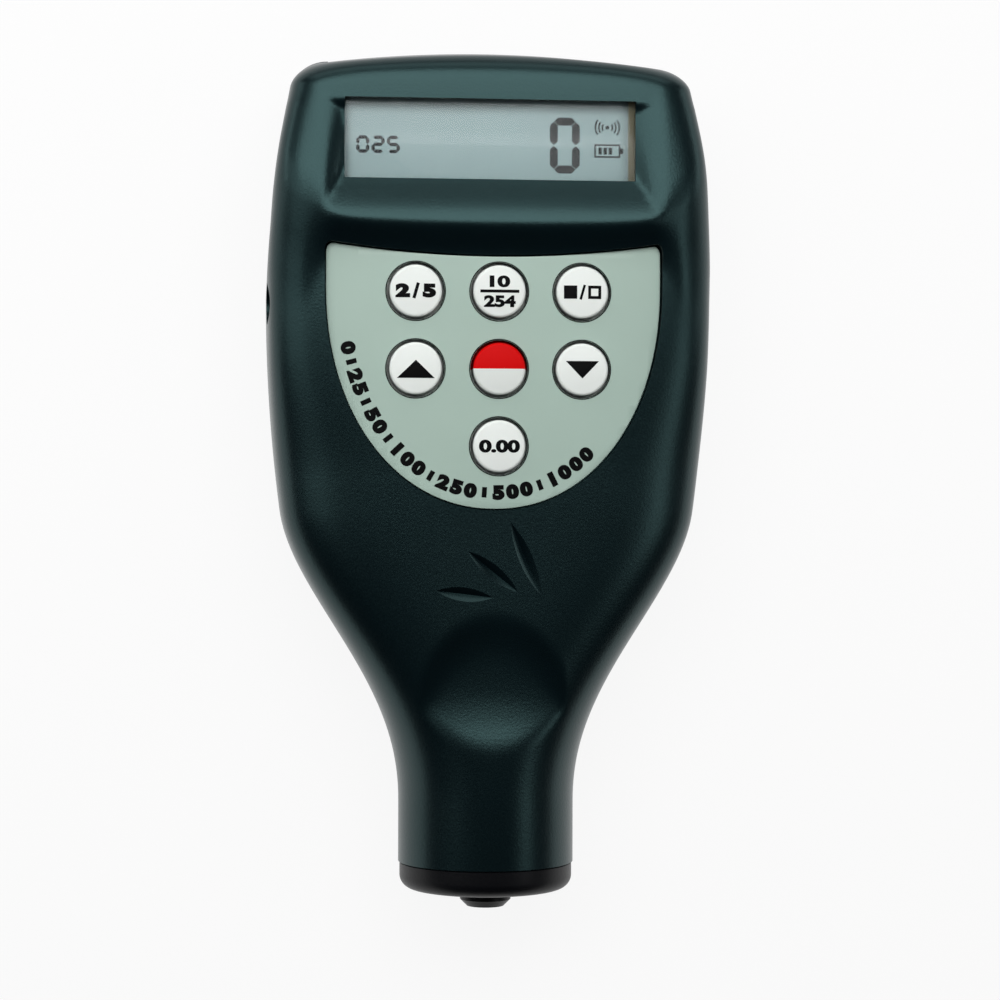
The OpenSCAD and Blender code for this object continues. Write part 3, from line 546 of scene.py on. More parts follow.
# %% Outline of the key panel
panel_sag = 2.0
panel_widest = 4.3
panel_corner = 1.6
panel_power = 2.1
panel_t = 0.8
crown_r = 200.0
seat_gap = 0.1
fit_gap = 0.2
panel_half = (panel_high.x - panel_low.x) / 2
panel_tip = panel_low.y
panel_top = panel_high.y - panel_sag
panel_waist = panel_top - panel_widest
panel_cell = 1.5
ALONG_X, ALONG_Y = Vector((1, 0, 0)), Vector((0, 1, 0))


def crown(x, y=0.0):
    return key_z - crown_r + math.sqrt(crown_r**2 - x * x)


def split(bm, axis, stops):
    for stop in stops:
        geom = bm.verts[:] + bm.edges[:] + bm.faces[:]
        bmesh.ops.bisect_plane(bm, geom=geom, dist=1e-5, plane_co=axis * stop, plane_no=axis)


def thicken(bm, height, low, high):
    lid = bmesh.ops.extrude_face_region(bm, geom=bm.faces[:])
    raised = {item for item in lid["geom"] if isinstance(item, bmesh.types.BMVert)}
    for vert in bm.verts:
        vert.co.z = height(vert.co.x, vert.co.y) + (high if vert in raised else low)
    bmesh.ops.recalc_face_normals(bm, faces=bm.faces)


def lower_edge(half, rise, turns):
    across = np.sign(np.cos(turns)) * np.abs(np.cos(turns)) ** (2 / panel_power)
    return half * across, panel_waist - rise * np.abs(np.sin(turns)) ** (2 / panel_power)


def panel_slab(grow, z_low, z_high):
    bm = bmesh.new()
    half = panel_half + grow
    sag_r = (half**2 + panel_sag**2) / (2 * panel_sag)
    lower = zip(*lower_edge(half, panel_waist - panel_tip + grow, np.linspace(0, math.pi, 97)))
    top = panel_top + grow + sag_r
    upper = [(x, top - math.sqrt(sag_r**2 - x * x)) for x in np.linspace(-half, half, 49)]
    bm.faces.new([bm.verts.new((x, y, 0)) for x, y in [*lower, *upper]])
    corners = [v for v in bm.verts if v.co.y > panel_top and abs(v.co.x) > half - 0.01]
    soften(bm, corners, panel_corner, 8, "VERTICES")
    split(bm, ALONG_X, np.arange(-panel_half, panel_half, panel_cell))
    split(bm, ALONG_Y, np.arange(panel_tip, panel_top + panel_sag, panel_cell))
    thicken(bm, crown, z_low, z_high)
    return bm


print("panel from y", round(panel_tip, 2), "to", round(panel_top, 2), "half", round(panel_half, 2))

# %% [markdown]
# Three leaf grooves fan out above the thumb dent. Each is the overlap of two large flat cylinders
# that lean against each other: where they meet they leave a V with pointed ends, just as a ball
# cutter swept on an arc would.

# %% Leaf grooves
groove_w = 2.0
groove_depth = 0.6
GROOVES = [(-4.5, 12.1, -7, 8.6), (-0.3, 15.4, -39, 9.4), (4.5, 17.3, -67, 11.4)]


def face_height(x, y):
    depth, power = depth_and_power(FACE, y)
    return axis_z + depth * (1 - min(1, abs(x) / half_width(y)) ** power) ** (1 / power)


def leaf(x, up, angle, length):
    lean = math.asin(groove_depth / (groove_w / 2))
    long_r = (length / 2) ** 2 / (2 * groove_depth)
    halves = []
    for side in (-1, 1):
        bm = rod((0, -10, long_r - groove_depth), (0, 1, 0), 20, long_r, segments=320)
        turn(bm, Matrix.Rotation(side * lean, 3, "X"))
        halves.append(bm)
    bm = combine(halves[0], [("INTERSECT", halves[1])])
    turn(bm, Matrix.Rotation(math.radians(angle), 3, "Z"))
    y = dent_y + up
    shift(bm, x, y, face_height(x, y))
    return bm


print("grooves:", len(GROOVES))

# %% [markdown]
# Now the front shell gets its openings: the display window with a pocket for the clear lens behind
# it, the recess for the key panel, a round hole for each key, the grooves, and the hole for the
# data socket on the left side.

# %% Cutting the front shell
key_hole_r = 4.15
lens_w = lens_high.x - lens_low.x
lens_h = lens_high.y - lens_low.y
carrier_low, carrier_high = box_mm("lcd_frame")
room_w = carrier_high.x - carrier_low.x + 2 * fit_gap
room_h = carrier_high.y - carrier_low.y + 2 * fit_gap
jack = middle_mm("data_jack")
jack_hole_r = 3.0
jack_face = 25.3
reach = 40.0


def window_block(half_w, half_h, z0, z1):
    low, high = window_y - half_h, window_y + half_h
    return block(window_x - half_w, window_x + half_w, low, high, z0, z1)


def key_holes():
    spots = [middle_mm(key) for key in KEYS]
    return [rod((spot.x, spot.y, axis_z), (0, 0, 1), reach, key_hole_r) for spot in spots]


cutters = [
    window_block(window_w / 2, window_h / 2, axis_z, reach),
    window_block(room_w / 2, room_h / 2, axis_z + wall, glass_high.z + 0.05),
    window_block(lens_w / 2 + fit_gap, lens_h / 2 + fit_gap, axis_z, lens_high.z + 0.05),
    panel_slab(fit_gap, -panel_t - seat_gap, 5.0),
    rod((-reach, jack.y, jack.z), (1, 0, 0), reach - jack_face, jack_hole_r),
    *key_holes(),
    *[leaf(*groove) for groove in GROOVES],
]
front = cut(front, cutters)
piece("front_skin", front, housing_plastic, HOUSING, ["front_shell"])

# %% [markdown]
# The key panel is a thin printed film, crowned like the face. It is the same slab as the recess,
# without the gap around it, and with the seven key holes cut through. Its cut edges get the dark
# ink finish, a painted shade that stands in for the shadow in the narrow gaps round the film and
# its key holes.

# %% Key panel
film_edge = 0.15
panel = panel_slab(0.0, -panel_t, 0.0)


def on_top(edge):
    return min(v.co.z - crown(v.co.x) for v in edge.verts) > -0.01


folds = [edge for edge in panel.edges if len(edge.link_faces) == 2 and edge.calc_face_angle() > 1]
soften(panel, [edge for edge in folds if on_top(edge)], film_edge)
panel = cut(panel, key_holes())
film = piece("key_film", panel, panel_film, HOUSING, ["key_panel"], CRISP)
# Painted shade: the film's steep edge faces, round its rim and its key holes, take the dark ink and
# stand in for the shadow in the gaps.
film.data.materials.append(print_ink_and_gap_shade)
for face in film.data.polygons:
    face.material_index = int(abs(face.normal.z) < 0.5)

# %% [markdown]
# A key is a turned shape: draw half of its outline once, then spin it round its axis. The outline
# has a low dome, a small round at the rim, the flange that keeps the key in, and the stem that
# presses on the rubber mat.

# %% Keys
key_r = 3.75
key_dome = 24.0
key_flange_t = 0.9
collar_depth = 2.6
key_stem_r = 2.0
key_edge = 0.45


def spun(profile, centre, axis, steps=64):
    bm = bmesh.new()
    verts = [bm.verts.new(point) for point in profile]
    edges = [bm.edges.new(pair) for pair in zip(verts, verts[1:])]
    geom = verts + edges
    bmesh.ops.spin(
        bm, geom=geom, cent=centre, axis=axis, angle=2 * math.pi, steps=steps, use_merge=True
    )
    bmesh.ops.remove_doubles(bm, verts=bm.verts, dist=1e-4)
    bmesh.ops.recalc_face_normals(bm, faces=bm.faces)
    return bm


def quarter(centre_r, centre_h, r, start, end, steps=8):
    angles = np.linspace(math.radians(start), math.radians(end), steps + 1)
    return [(centre_r + r * math.cos(a), centre_h + r * math.sin(a)) for a in angles]


def dome_height(r, crest):
    return crest - key_dome + math.sqrt(key_dome**2 - r * r)


def key_outline(key):
    low, high = box_mm(key)
    flange = crown((low.x + high.x) / 2) - collar_depth - seat_gap
    flange_r = (high.x - low.x) / 2
    shoulder = key_r - key_edge
    top = [(r, dome_height(r, high.z)) for r in np.linspace(0, shoulder, 9)]
    top += quarter(shoulder, dome_height(shoulder, high.z) - key_edge, key_edge, 82, 0)
    skirt = [(key_r, flange), (flange_r, flange), (flange_r, flange - key_flange_t)]
    stem = [(key_stem_r, flange - key_flange_t), (key_stem_r, low.z), (0, low.z)]
    return top + skirt + stem


two_tone = finish(
    "key_two_tone", srgb(230, 235, 231), 0.45, bump=0.04, mottle=0.015, Specular_IOR_Level=0.08
)
for key in KEYS:
    mid = middle_mm(key)
    cap = spun([(mid.x + r, mid.y, z) for r, z in key_outline(key)], (mid.x, mid.y, 0), (0, 0, 1))
    look, slot = (two_tone, "key_two_tone") if key == "key_power" else (key_plastic, "key_white")
    piece(key + "_cap", cap, look, key, [key])

# %% [markdown]
# The middle key is red above and white below. Its finish is the same white plastic with a red
# field: one Greater Than test on the Object coordinate picks the half.

# %% Red half of the middle key
def ground(material):
    shader = material.node_tree.nodes["Principled BSDF"]
    return shader.inputs["Base Color"].links[0].from_socket


def repaint(material, colour):
    tree = material.node_tree
    plug_all(tree, tree.nodes["Principled BSDF"], Base_Color=colour)


def place_on(tree, axis):
    where = node(tree, "TexCoord").outputs["Object"]
    return node(tree, "SeparateXYZ", Vector=where).outputs[axis]


def maths(tree, operation, a, b):
    made = node(tree, "Math")
    made.operation = operation
    plug(tree, made.inputs[0], a)
    plug(tree, made.inputs[1], b)
    return made.outputs["Value"]


def mix_colours(tree, factor, a, b, blend="MIX"):
    made = node(tree, "Mix")
    made.data_type, made.blend_type = "RGBA", blend
    plug_all(tree, made, Factor=factor, A=a, B=b)
    return made.outputs["Result"]


def paint_above(material, y_mm, colour):
    tree = material.node_tree
    above = maths(tree, "GREATER_THAN", place_on(tree, "Y"), y_mm * MM)
    repaint(material, mix_colours(tree, above, ground(material), [*colour, 1]))


paint_above(two_tone, middle_mm("key_power").y, srgb(214, 1, 3))
print("red half starts at y", round(middle_mm("key_power").y, 2))

# %% [markdown]
# Print on the keys and the panel is plain: numbers, arrows and squares. Each mark starts flat, is
# cut into small cells so that it can follow the dome, and then gets a hair of thickness, as ink
# has. Numbers come from a text object that is turned into a mesh before it is placed.

# %% Marks of ink
def joined(shapes):
    bm = bmesh.new()
    for shape in shapes:
        mesh = bpy.data.meshes.new("mark")
        shape.to_mesh(mesh)
        shape.free()
        bm.from_mesh(mesh)
        bpy.data.meshes.remove(mesh)
    return bm


def polygon(points):
    bm = bmesh.new()
    bm.faces.new([bm.verts.new((x, y, 0)) for x, y in points])
    return bm


def bar(x, y, w, h, angle=0.0):
    lean = Matrix.Rotation(math.radians(angle), 2)
    corners = ((-w, -h), (w, -h), (w, h), (-w, h))
    return polygon([lean @ Vector(corner) / 2 + Vector((x, y)) for corner in corners])


def number(text, height, x, y, stretch=1.0, bold=0.08, angle=0.0):
    curve = bpy.data.curves.new("number", "FONT")
    curve.body = text
    curve.align_x, curve.align_y = "CENTER", "CENTER"
    curve.offset = bold
    obj = bpy.data.objects.new("number", curve)
    bpy.context.scene.collection.objects.link(obj)
    graph = bpy.context.evaluated_depsgraph_get()
    mesh = bpy.data.meshes.new_from_object(obj.evaluated_get(graph))
    bm = bmesh.new()
    bm.from_mesh(mesh)
    bpy.data.objects.remove(obj)
    bpy.data.curves.remove(curve)
    bpy.data.meshes.remove(mesh)
    x_span = [v.co.x for v in bm.verts]
    y_span = [v.co.y for v in bm.verts]
    tall = max(y_span) - min(y_span)
    shift(bm, -(max(x_span) + min(x_span)) / 2, -(max(y_span) + min(y_span)) / 2, 0)
    bmesh.ops.scale(bm, vec=(stretch * height / tall, height / tall, 1), verts=bm.verts)
    turn(bm, Matrix.Rotation(math.radians(angle), 3, "Z"))
    shift(bm, x, y, 0)
    return bm


def inked(name, shapes, height, material, body, cell=0.7, lift=0.03, sink=0.04):
    bm = joined(shapes)
    bmesh.ops.remove_doubles(bm, verts=bm.verts, dist=1e-4)
    for axis in (ALONG_X, ALONG_Y):
        along = [v.co.dot(axis) for v in bm.verts]
        split(bm, axis, np.arange(min(along) + cell / 2, max(along), cell))
    thicken(bm, height, -sink, lift)
    return piece(name, bm, material, body)


print("marks are ready")

# %% [markdown]
# The legends keep to numbers and simple shapes: one or many, a ratio, a filled or an open square,
# an arrow up, an arrow down, and a plain zero. Each is a short list of a maker and its sizes.

# %% Key legends
def square_ring(x, y, size, line):
    half = size / 2 - line / 2
    return [
        (bar, x, y + half, size, line),
        (bar, x, y - half, size, line),
        (bar, x - half, y, line, size - 2 * line),
        (bar, x + half, y, line, size - 2 * line),
    ]


def triangle(width, base_y, tip_y):
    return polygon([(-width / 2, base_y), (width / 2, base_y), (0, tip_y)])


LEGENDS = {
    "key_mode": [
        (number, "2", 2.0, -1.9, 0, 1.5), (bar, 0, 0, 0.45, 2.3, -16),
        (number, "5", 2.0, 1.9, 0, 1.5),
    ],
    "key_unit": [
        (number, "10", 1.7, 0, 1.4, 1.6, 0.05), (bar, 0, 0, 5.6, 0.42),
        (number, "254", 1.7, 0, -1.45, 1.4, 0.05),
    ],
    "key_metal": [
        (bar, -1.75, 0, 1.9, 1.9), (bar, 0, 0, 0.36, 2.2, -16),
        *square_ring(1.75, 0, 1.9, 0.42),
    ],
    "key_up": [(triangle, 5.4, -1.4, 1.2)],
    "key_down": [(triangle, 4.8, 1.2, -1.3)],
    "key_zero": [(number, "0.00", 1.85, 0, 0, 1.45, 0.05)],
}
for key, legend in LEGENDS.items():
    mid, crest = middle_mm(key), box_mm(key)[1].z
    marks = [make(*sizes) for make, *sizes in legend]
    for mark in marks:
        shift(mark, mid.x, mid.y, 0)
    inked(
        key + "_legend", marks,
        lambda x, y: dome_height(math.hypot(x - mid.x, y - mid.y), crest), print_ink_and_gap_shade, key,
    )

# %% [markdown]
# Along the lower rim of the panel runs a bold printed band. Here it is a plain scale of numbers and
# ticks. Its line follows the panel's edge a little way in, and each mark is turned to stand on it.
# A thin ring of ink round each key hole is printed with it.

# %% Printed scale on the panel
SCALE = "0|25|50|100|250|500|1000"
band_in = 2.35
digit_h = 2.15
digit_stretch, digit_bold = 1.25, 0.09
tick_w, tick_h = 0.7, 1.5
ring_gap, ring_line = 0.02, 0.16
band_start = panel_top - 13.2
band_end = panel_top - 28.3


def band_line():
    rise = panel_waist - panel_tip - band_in
    x, y = lower_edge(panel_half - band_in, rise, np.linspace(math.pi, 0, 2001))
    left = np.argmax((y <= band_start) & (x < 0))
    right = len(y) - 1 - np.argmax((y[::-1] <= band_end) & (x[::-1] > 0))
    return x[left:right], y[left:right]


def on_line(stop):
    return np.array([np.interp(stop, run, line_x), np.interp(stop, run, line_y)])


line_x, line_y = band_line()
run = np.concatenate([[0], np.cumsum(np.hypot(np.diff(line_x), np.diff(line_y)))])
marks = []
for i, token in enumerate(SCALE):
    stop = run[-1] * i / (len(SCALE) - 1)
    x, y = on_line(stop)
    ahead = min(stop + 0.1, run[-1])
    dx, dy = on_line(ahead) - on_line(ahead - 0.2)
    slope = math.degrees(math.atan2(dy, dx))
    if token == "|":
        marks.append(bar(x, y, tick_w, tick_h, slope))
    else:
        marks.append(number(token, digit_h, x, y, digit_stretch, digit_bold, slope))
near = key_hole_r + ring_gap
far = near + ring_line
turns = np.linspace(0, 2 * math.pi, 65)
for spot in map(middle_mm, KEYS):
    for a, b in zip(turns, turns[1:]):
        corners = [(near, a), (far, a), (far, b), (near, b)]
        ring = [(spot.x + r * math.cos(t), spot.y + r * math.sin(t)) for r, t in corners]
        marks.append(polygon(ring))
inked("panel_scale", marks, lambda x, y: crown(x), print_ink_and_gap_shade, HOUSING, cell=1.5, lift=0.02)
print("scale is", round(run[-1], 1), "mm long")

# %% [markdown]
# The display is a sandwich: a glass cell with a pale polarising film on top, and the clear lens
# above both. The film ends just short of the glass, so a strip of the cell's tan edge shows at the
# right. The shadow of the window's frame on the film is painted into its colour: a darker band
# along its top edge and both ends, shaded along X and Y. Its marks are grey shapes laid on the
# film: a seven-segment zero, a sound symbol and small signs.

# %% Display cell and film
film_t = 0.2
film_short = 0.85
display_film = finish(
    "display_film", srgb(148, 173, 174), 0.35, grain=1500, bump=0.02, mottle=0.025
)
display_edge = finish("display_edge", srgb(112, 108, 84), 0.5, grain=1500, bump=0.05)
display_ink = finish(
    "display_ink", srgb(30, 36, 38), 0.45, grain=3000, bump=0.02, Specular_IOR_Level=0.2
)


def soft_block(x0, x1, y0, y1, z0, z1, edge):
    bm = block(x0, x1, y0, y1, z0, z1)
    soften(bm, bm.edges[:], edge)
    return bm


# Painted shadow: multiplies a material's colour darker towards the given edges, standing in for the
# shade cast by the window's frame.
def paint_frame_shadow(material, edges):
    tree = material.node_tree
    colour = ground(material)
    for axis, start, stop, dark in edges:
        fade = node(tree, "MapRange", Value=place_on(tree, axis), To_Min=dark)
        fade.interpolation_type = "SMOOTHSTEP"
        plug_all(tree, fade, From_Min=start * MM, From_Max=stop * MM)
        colour = mix_colours(tree, 1.0, colour, fade.outputs["Result"], "MULTIPLY")
    repaint(material, colour)


cell = soft_block(
    glass_low.x, glass_high.x, glass_low.y, glass_high.y, glass_low.z, glass_high.z - film_t, 0.1
)
piece("display_cell", cell, display_edge, HOUSING, ["lcd_glass"], CRISP)
film_right = window_x + window_w / 2 - film_short
pale = soft_block(
    glass_low.x + 0.3, film_right, glass_low.y + 0.3, glass_high.y - 0.3,
    glass_high.z - film_t, glass_high.z, 0.03,
)
film_left, film_top = window_x - window_w / 2, window_y + window_h / 2
# Painted shadow of the frame on the film: darker along its top edge and both ends.
paint_frame_shadow(display_film, [
    ("Y", film_top, film_top - 2.4, 0.35),
    ("X", film_left, film_left + 1.4, 0.6),
    ("X", film_right, film_right - 1.6, 0.65),
])
piece("display_film", pale, display_film, HOUSING, sharp=CRISP)

# %% [markdown]
# A segment is a bar with pointed ends. Seven of them make a digit, and a zero leaves out the middle
# one. The sound sign is a row of arcs, and the battery sign a frame with three bars.

# %% Display marks
DIGITS = {"0": "abcdef", "2": "abged", "5": "afgcd"}


def segment(x, y, length, thick, upright):
    half, t = length / 2, thick / 2
    along = [(-half, 0), (-half + t, -t), (half - t, -t), (half, 0), (half - t, t), (-half + t, t)]
    return polygon([(x + b, y + a) if upright else (x + a, y + b) for a, b in along])


def digit(text, x, y, w, h, thick, gap=0.12):
    places = {
        "a": (0, h, False), "g": (0, 0, False), "d": (0, -h, False),
        "f": (-w, h / 2, True), "b": (w, h / 2, True),
        "e": (-w, -h / 2, True), "c": (w, -h / 2, True),
    }
    marks = []
    for name in DIGITS[text]:
        dx, dy, upright = places[name]
        length = (h if upright else 2 * w) - gap
        marks.append(segment(x + dx, y + dy, length, thick, upright))
    return marks


def arc(x, y, r, line, middle, span):
    angles = np.radians(np.linspace(middle - span, middle + span, 13))
    outer = [(x + (r + line / 2) * math.cos(a), y + (r + line / 2) * math.sin(a)) for a in angles]
    inner = [(x + (r - line / 2) * math.cos(a), y + (r - line / 2) * math.sin(a)) for a in angles]
    return polygon(outer + inner[::-1])


sign_x = window_x + 17.1
sign_y = window_y + 2.2
level_y = window_y - 1.2
marks = digit("0", window_x + 10.9, window_y - 0.5, 1.6, 3.45, 1.15, 0.1)
for r in (0.75, 1.25, 1.75):
    marks += [arc(sign_x, sign_y, r, 0.22, 0, 38), arc(sign_x, sign_y, r, 0.22, 180, 38)]
marks.append(arc(sign_x, sign_y, 0.14, 0.28, 0, 179))
marks += [bar(sign_x, level_y + 0.85, 3.8, 0.24), bar(sign_x, level_y - 0.85, 3.8, 0.24)]
marks += [bar(sign_x - 1.78, level_y, 0.24, 1.46), bar(sign_x + 1.78, level_y, 0.24, 1.46)]
marks += [bar(sign_x + 2.1, level_y, 0.4, 0.8)]
marks += [bar(sign_x - 1.05 + 0.75 * i, level_y, 0.5, 1.0) for i in range(3)]
for i, text in enumerate("025"):
    marks += digit(text, window_x - 18.3 + 2.2 * i, window_y - 0.75, 0.7, 1.0, 0.5, 0.04)
inked(
    "display_marks", marks, lambda x, y: glass_high.z, display_ink, HOUSING,
    cell=4, lift=0.015, sink=0.02,
)

# %% [markdown]
# The lens is a plate of clear acrylic, let into the shell from behind. It transmits nearly all the
# light, so what sells it is the thin bevelled edge and a faint reflection.

# %% Lens
acrylic = finish(
    "acrylic", [0.96, 0.98, 0.98], 0.05, grain=400, bump=0.0, mottle=0.01, rough_span=0.01,
    Transmission_Weight=1.0, IOR=1.49, Alpha=0.35,
)
lens = soft_block(lens_low.x, lens_high.x, lens_low.y, lens_high.y, lens_low.z, lens_high.z, 0.12)
piece("display_lens", lens, acrylic, HOUSING, ["lcd_window"], CRISP)

# %% [markdown]
# The nose is turned: end cap, probe and core are all profiles spun about the neck's axis. The end
# cap's edge is a quarter round, and its bore has a small chamfer that catches the light.

# %% End cap and probe
cap_r = (cap_high.x - cap_low.x) / 2
cap_round = 2.0
chamfer = 0.25
slide_gap = 0.1
probe_r = 3.75
tube_outer = 7.35
spigot_r = neck_r - wall - fit_gap
sleeve_low, sleeve_high = box_mm("probe_sleeve")
core_low, core_high = box_mm("probe_core")
coil_low, coil_high = box_mm("probe_coil")
floor_y = cap_low.y + 3.4
seam_gap = seam_y - seat_gap


def turned(profile, steps=96):
    return spun([(r, y, axis_z) for r, y in profile], (0, 0, axis_z), (0, 1, 0), steps)


bore_r = probe_r + slide_gap
cap_profile = [(bore_r, cap_low.y + chamfer), (bore_r + chamfer, cap_low.y)]
cap_profile += quarter(cap_r - cap_round, cap_low.y + cap_round, cap_round, -90, 0, 12)
cap_profile += [
    (cap_r, seam_gap - chamfer / 2), (cap_r - chamfer / 2, seam_gap), (spigot_r, seam_gap),
    (spigot_r, cap_high.y), (tube_outer, cap_high.y), (tube_outer, floor_y), (bore_r, floor_y),
]
cap_profile.append(cap_profile[0])
cap = turned(cap_profile, 128)
piece("nose_cap", cap, nose_plastic, HOUSING, ["end_cap"])

core_r = (core_high.x - core_low.x) / 2
lip_r = (sleeve_high.x - sleeve_low.x) / 2
lip_low, lip_high = floor_y + seat_gap, floor_y + seat_gap + 1.6
coil_r = (coil_high.x - coil_low.x) / 2 + slide_gap
probe_chamfer = 1.0
sleeve_profile = [
    (core_r + slide_gap, sleeve_low.y), (probe_r - probe_chamfer, sleeve_low.y),
    (probe_r, sleeve_low.y + probe_chamfer), (probe_r, lip_low), (lip_r, lip_low),
    (lip_r, lip_high), (probe_r, lip_high), (probe_r, sleeve_high.y), (coil_r, sleeve_high.y),
    (coil_r, coil_low.y - seat_gap), (core_r + slide_gap, coil_low.y - seat_gap),
]
sleeve_profile.append(sleeve_profile[0])
sleeve = turned(sleeve_profile)
piece("probe_tube", sleeve, nose_plastic, PROBE, ["probe_sleeve"])

plated_steel = finish(
    "plated_steel", [0.62, 0.62, 0.63], 0.22, grain=6000, bump=0.03, mottle=0.04, Metallic=1.0
)
core_profile = quarter(0, core_low.y + core_r, core_r, -90, 0, 12)
core_profile += [(core_r, core_high.y), (0, core_high.y)]
core = turned(core_profile, 64)
piece("probe_pole", core, plated_steel, PROBE, ["probe_core"])

# %% [markdown]
# Inside the sleeve sits the winding, and behind it the return spring. A spring is a circle that is
# spun and pushed along its axis at the same time. The real spring is squashed as the probe goes in;
# here it is modelled at rest.

# %% Winding and return spring
copper_wire = finish("copper_wire", [0.62, 0.27, 0.1], 0.3, grain=5000, bump=0.1, Metallic=1.0)
turns = 24
pitch = (coil_high.y - coil_low.y) / turns
winding = [(core_r + slide_gap, coil_low.y)]
for i in range(turns):
    middle = coil_low.y + pitch * (i + 0.5)
    winding += quarter(coil_r - slide_gap - pitch / 2, middle, pitch / 2, -90, 90, 6)
winding += [(core_r + slide_gap, coil_high.y), winding[0]]
piece("probe_winding", turned(winding, 48), copper_wire, PROBE, ["probe_coil"])


def helix(centre, axis, r, wire_r, length, turns, around=32):
    bm = bmesh.new()
    axis = Vector(axis)
    out = axis.orthogonal().normalized()
    ring = bmesh.ops.create_circle(bm, segments=10, radius=wire_r)["verts"]
    lay = Matrix((out, axis, out.cross(axis))).transposed()
    bmesh.ops.rotate(bm, cent=(0, 0, 0), matrix=lay, verts=ring)
    bmesh.ops.translate(bm, vec=Vector(centre) + out * r + axis * wire_r, verts=ring)
    steps = turns * around
    climb = axis * ((length - 2 * wire_r) / steps)
    bmesh.ops.spin(
        bm, geom=bm.verts[:] + bm.edges[:], cent=centre, axis=axis, dvec=climb,
        angle=2 * math.pi * turns, steps=steps, use_merge=False,
    )
    ends = [e for e in bm.edges if e.is_boundary]
    bmesh.ops.holes_fill(bm, edges=ends)
    bmesh.ops.recalc_face_normals(bm, faces=bm.faces)
    return bm


spring_steel = finish("spring_steel", [0.55, 0.55, 0.56], 0.28, grain=5000, bump=0.05, Metallic=1.0)
wire_r = 0.3
spring_low, spring_high = box_mm("probe_spring")
spring_len = spring_high.y - spring_low.y
spring_r = (spring_high.x - spring_low.x) / 2 - wire_r
spring = helix((0, spring_low.y, axis_z), (0, 1, 0), spring_r, wire_r, spring_len, 8)
spring = piece("probe_return_spring", spring, spring_steel, HOUSING, ["probe_spring"])
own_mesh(spring)

# %% [markdown]
# The rear shell is the same kind of loft, pressed flat where it lies on the table. Blocks for the
# battery bay and the door's rails are joined to it, then the bay, the door's slot and the screw
# recesses are cut. Each screw boss is trimmed by a plane inside the wall, so that it doesn't break
# through the rounded back edge. The door is cut from a thicker loft of the same form, so the two
# flow together.

# %% Rear shell
door_low, door_high = box_mm("battery_door")
plates_low, plates_high = box_mm("contact_plates")
cells = [box_mm(f"battery_{i}") for i in (1, 2, 3, 4)]
tongue_w = 1.0
door_t = door_high.z
rail_x = door_high.x
door_x = rail_x - tongue_w
bay_lo, bay_hi = plates_low.y - seat_gap, plates_high.y + seat_gap
cell_gap, cell_head = 0.15, 0.3
bay_x = cells[3][1].x + cell_gap
bay_wall = 1.2
bay_ceiling = cells[0][1].z + cell_head
ledge_z = door_t + fit_gap
ledge_t = 1.4
rail_w = 2.2
boss_r = 3.0
boss_cover = 0.5
screw_seat = 5.0
recess_r = 2.3
screws_low, screws_high = box_mm("case_screws")
head_r = 2.1
low_screw_x = 19.5
foot_fillet = 0.5
SCREWS = [(side * (screws_high.x - head_r), screws_high.y - head_r) for side in (-1, 1)]
SCREWS += [(side * low_screw_x, screws_low.y + head_r) for side in (-1, 1)]


def press_flat(point):
    x, y, z = point
    return Vector((x, y, smooth_max(z, 0.0, foot_fillet)))


def back_z(x, y):
    across = min(1.0, x / half_width(y))
    return axis_z - back_depth * (1 - across**back_power) ** (1 / back_power)


def boss(x, y):
    bm = rod((x, y, wall / 2), (0, 0, 1), axis_z - wall / 2, boss_r)
    side = math.copysign(1, x)
    near, far = abs(x), abs(x) + boss_r
    low, high = back_z(near, y), back_z(far, y)
    outwards = (side * (high - low), 0, near - far)
    geom = bm.verts[:] + bm.edges[:] + bm.faces[:]
    bmesh.ops.bisect_plane(
        bm, geom=geom, plane_co=(x, y, low + boss_cover), plane_no=outwards, clear_outer=True
    )
    bmesh.ops.holes_fill(bm, edges=[edge for edge in bm.edges if edge.is_boundary])
    bmesh.ops.recalc_face_normals(bm, faces=bm.faces)
    return bm


rear = shell(BACK, 96, 1.0, 0.8, press_flat)
slot_lo, past_end = door_low.y - fit_gap, top_y + 1
sill_lo, bay_end = door_low.y - bay_wall, bay_hi + bay_wall
added = [
    wide_block(bay_x + bay_wall, bay_lo - bay_wall, bay_end, ledge_z, bay_ceiling + bay_wall),
    wide_block(rail_x + rail_w, sill_lo, bay_end, wall / 2, ledge_z + ledge_t),
    wide_block(rail_x, bay_hi, top_y - wall - ledge_t / 2, ledge_z, ledge_z + ledge_t),
    *[boss(x, y) for x, y in SCREWS],
]
removed = [
    wide_block(bay_x, bay_lo, bay_hi, -1, bay_ceiling),
    wide_block(door_x + slide_gap, slot_lo, past_end, -1, ledge_z),
    wide_block(rail_x + slide_gap, slot_lo, past_end, door_t / 2 - slide_gap, ledge_z),
    *[rod((x, y, -1), (0, 0, 1), screw_seat + 1, recess_r) for x, y in SCREWS],
]
steps = [("UNION", bm) for bm in added] + [("DIFFERENCE", bm) for bm in removed]
rear = combine(rear, steps)
piece("rear_skin", rear, housing_plastic, HOUSING, ["rear_shell"])

# %% [markdown]
# The battery door carries five finger grooves near its lower edge.

# %% Battery door
grip_r = 0.8
grip_pitch = 2.0
grip_start = 4.0
door_loft = 6.0
outline = combine(
    wide_block(door_x, door_low.y, past_end, -1, door_t),
    [("UNION", wide_block(rail_x, door_low.y, past_end, door_t / 2, door_t))],
)
grip_y = [door_low.y + grip_start + i * grip_pitch for i in range(5)]
grips = [rod((-door_x / 2, y, -grip_r / 2), (1, 0, 0), door_x, grip_r, 48) for y in grip_y]
steps = [("INTERSECT", outline)] + [("DIFFERENCE", grip) for grip in grips]
door = combine(shell(BACK, 96, 1.0, 0.8, press_flat, thick=door_loft), steps)
piece("door_cover", door, housing_plastic, DOOR, ["battery_door"])

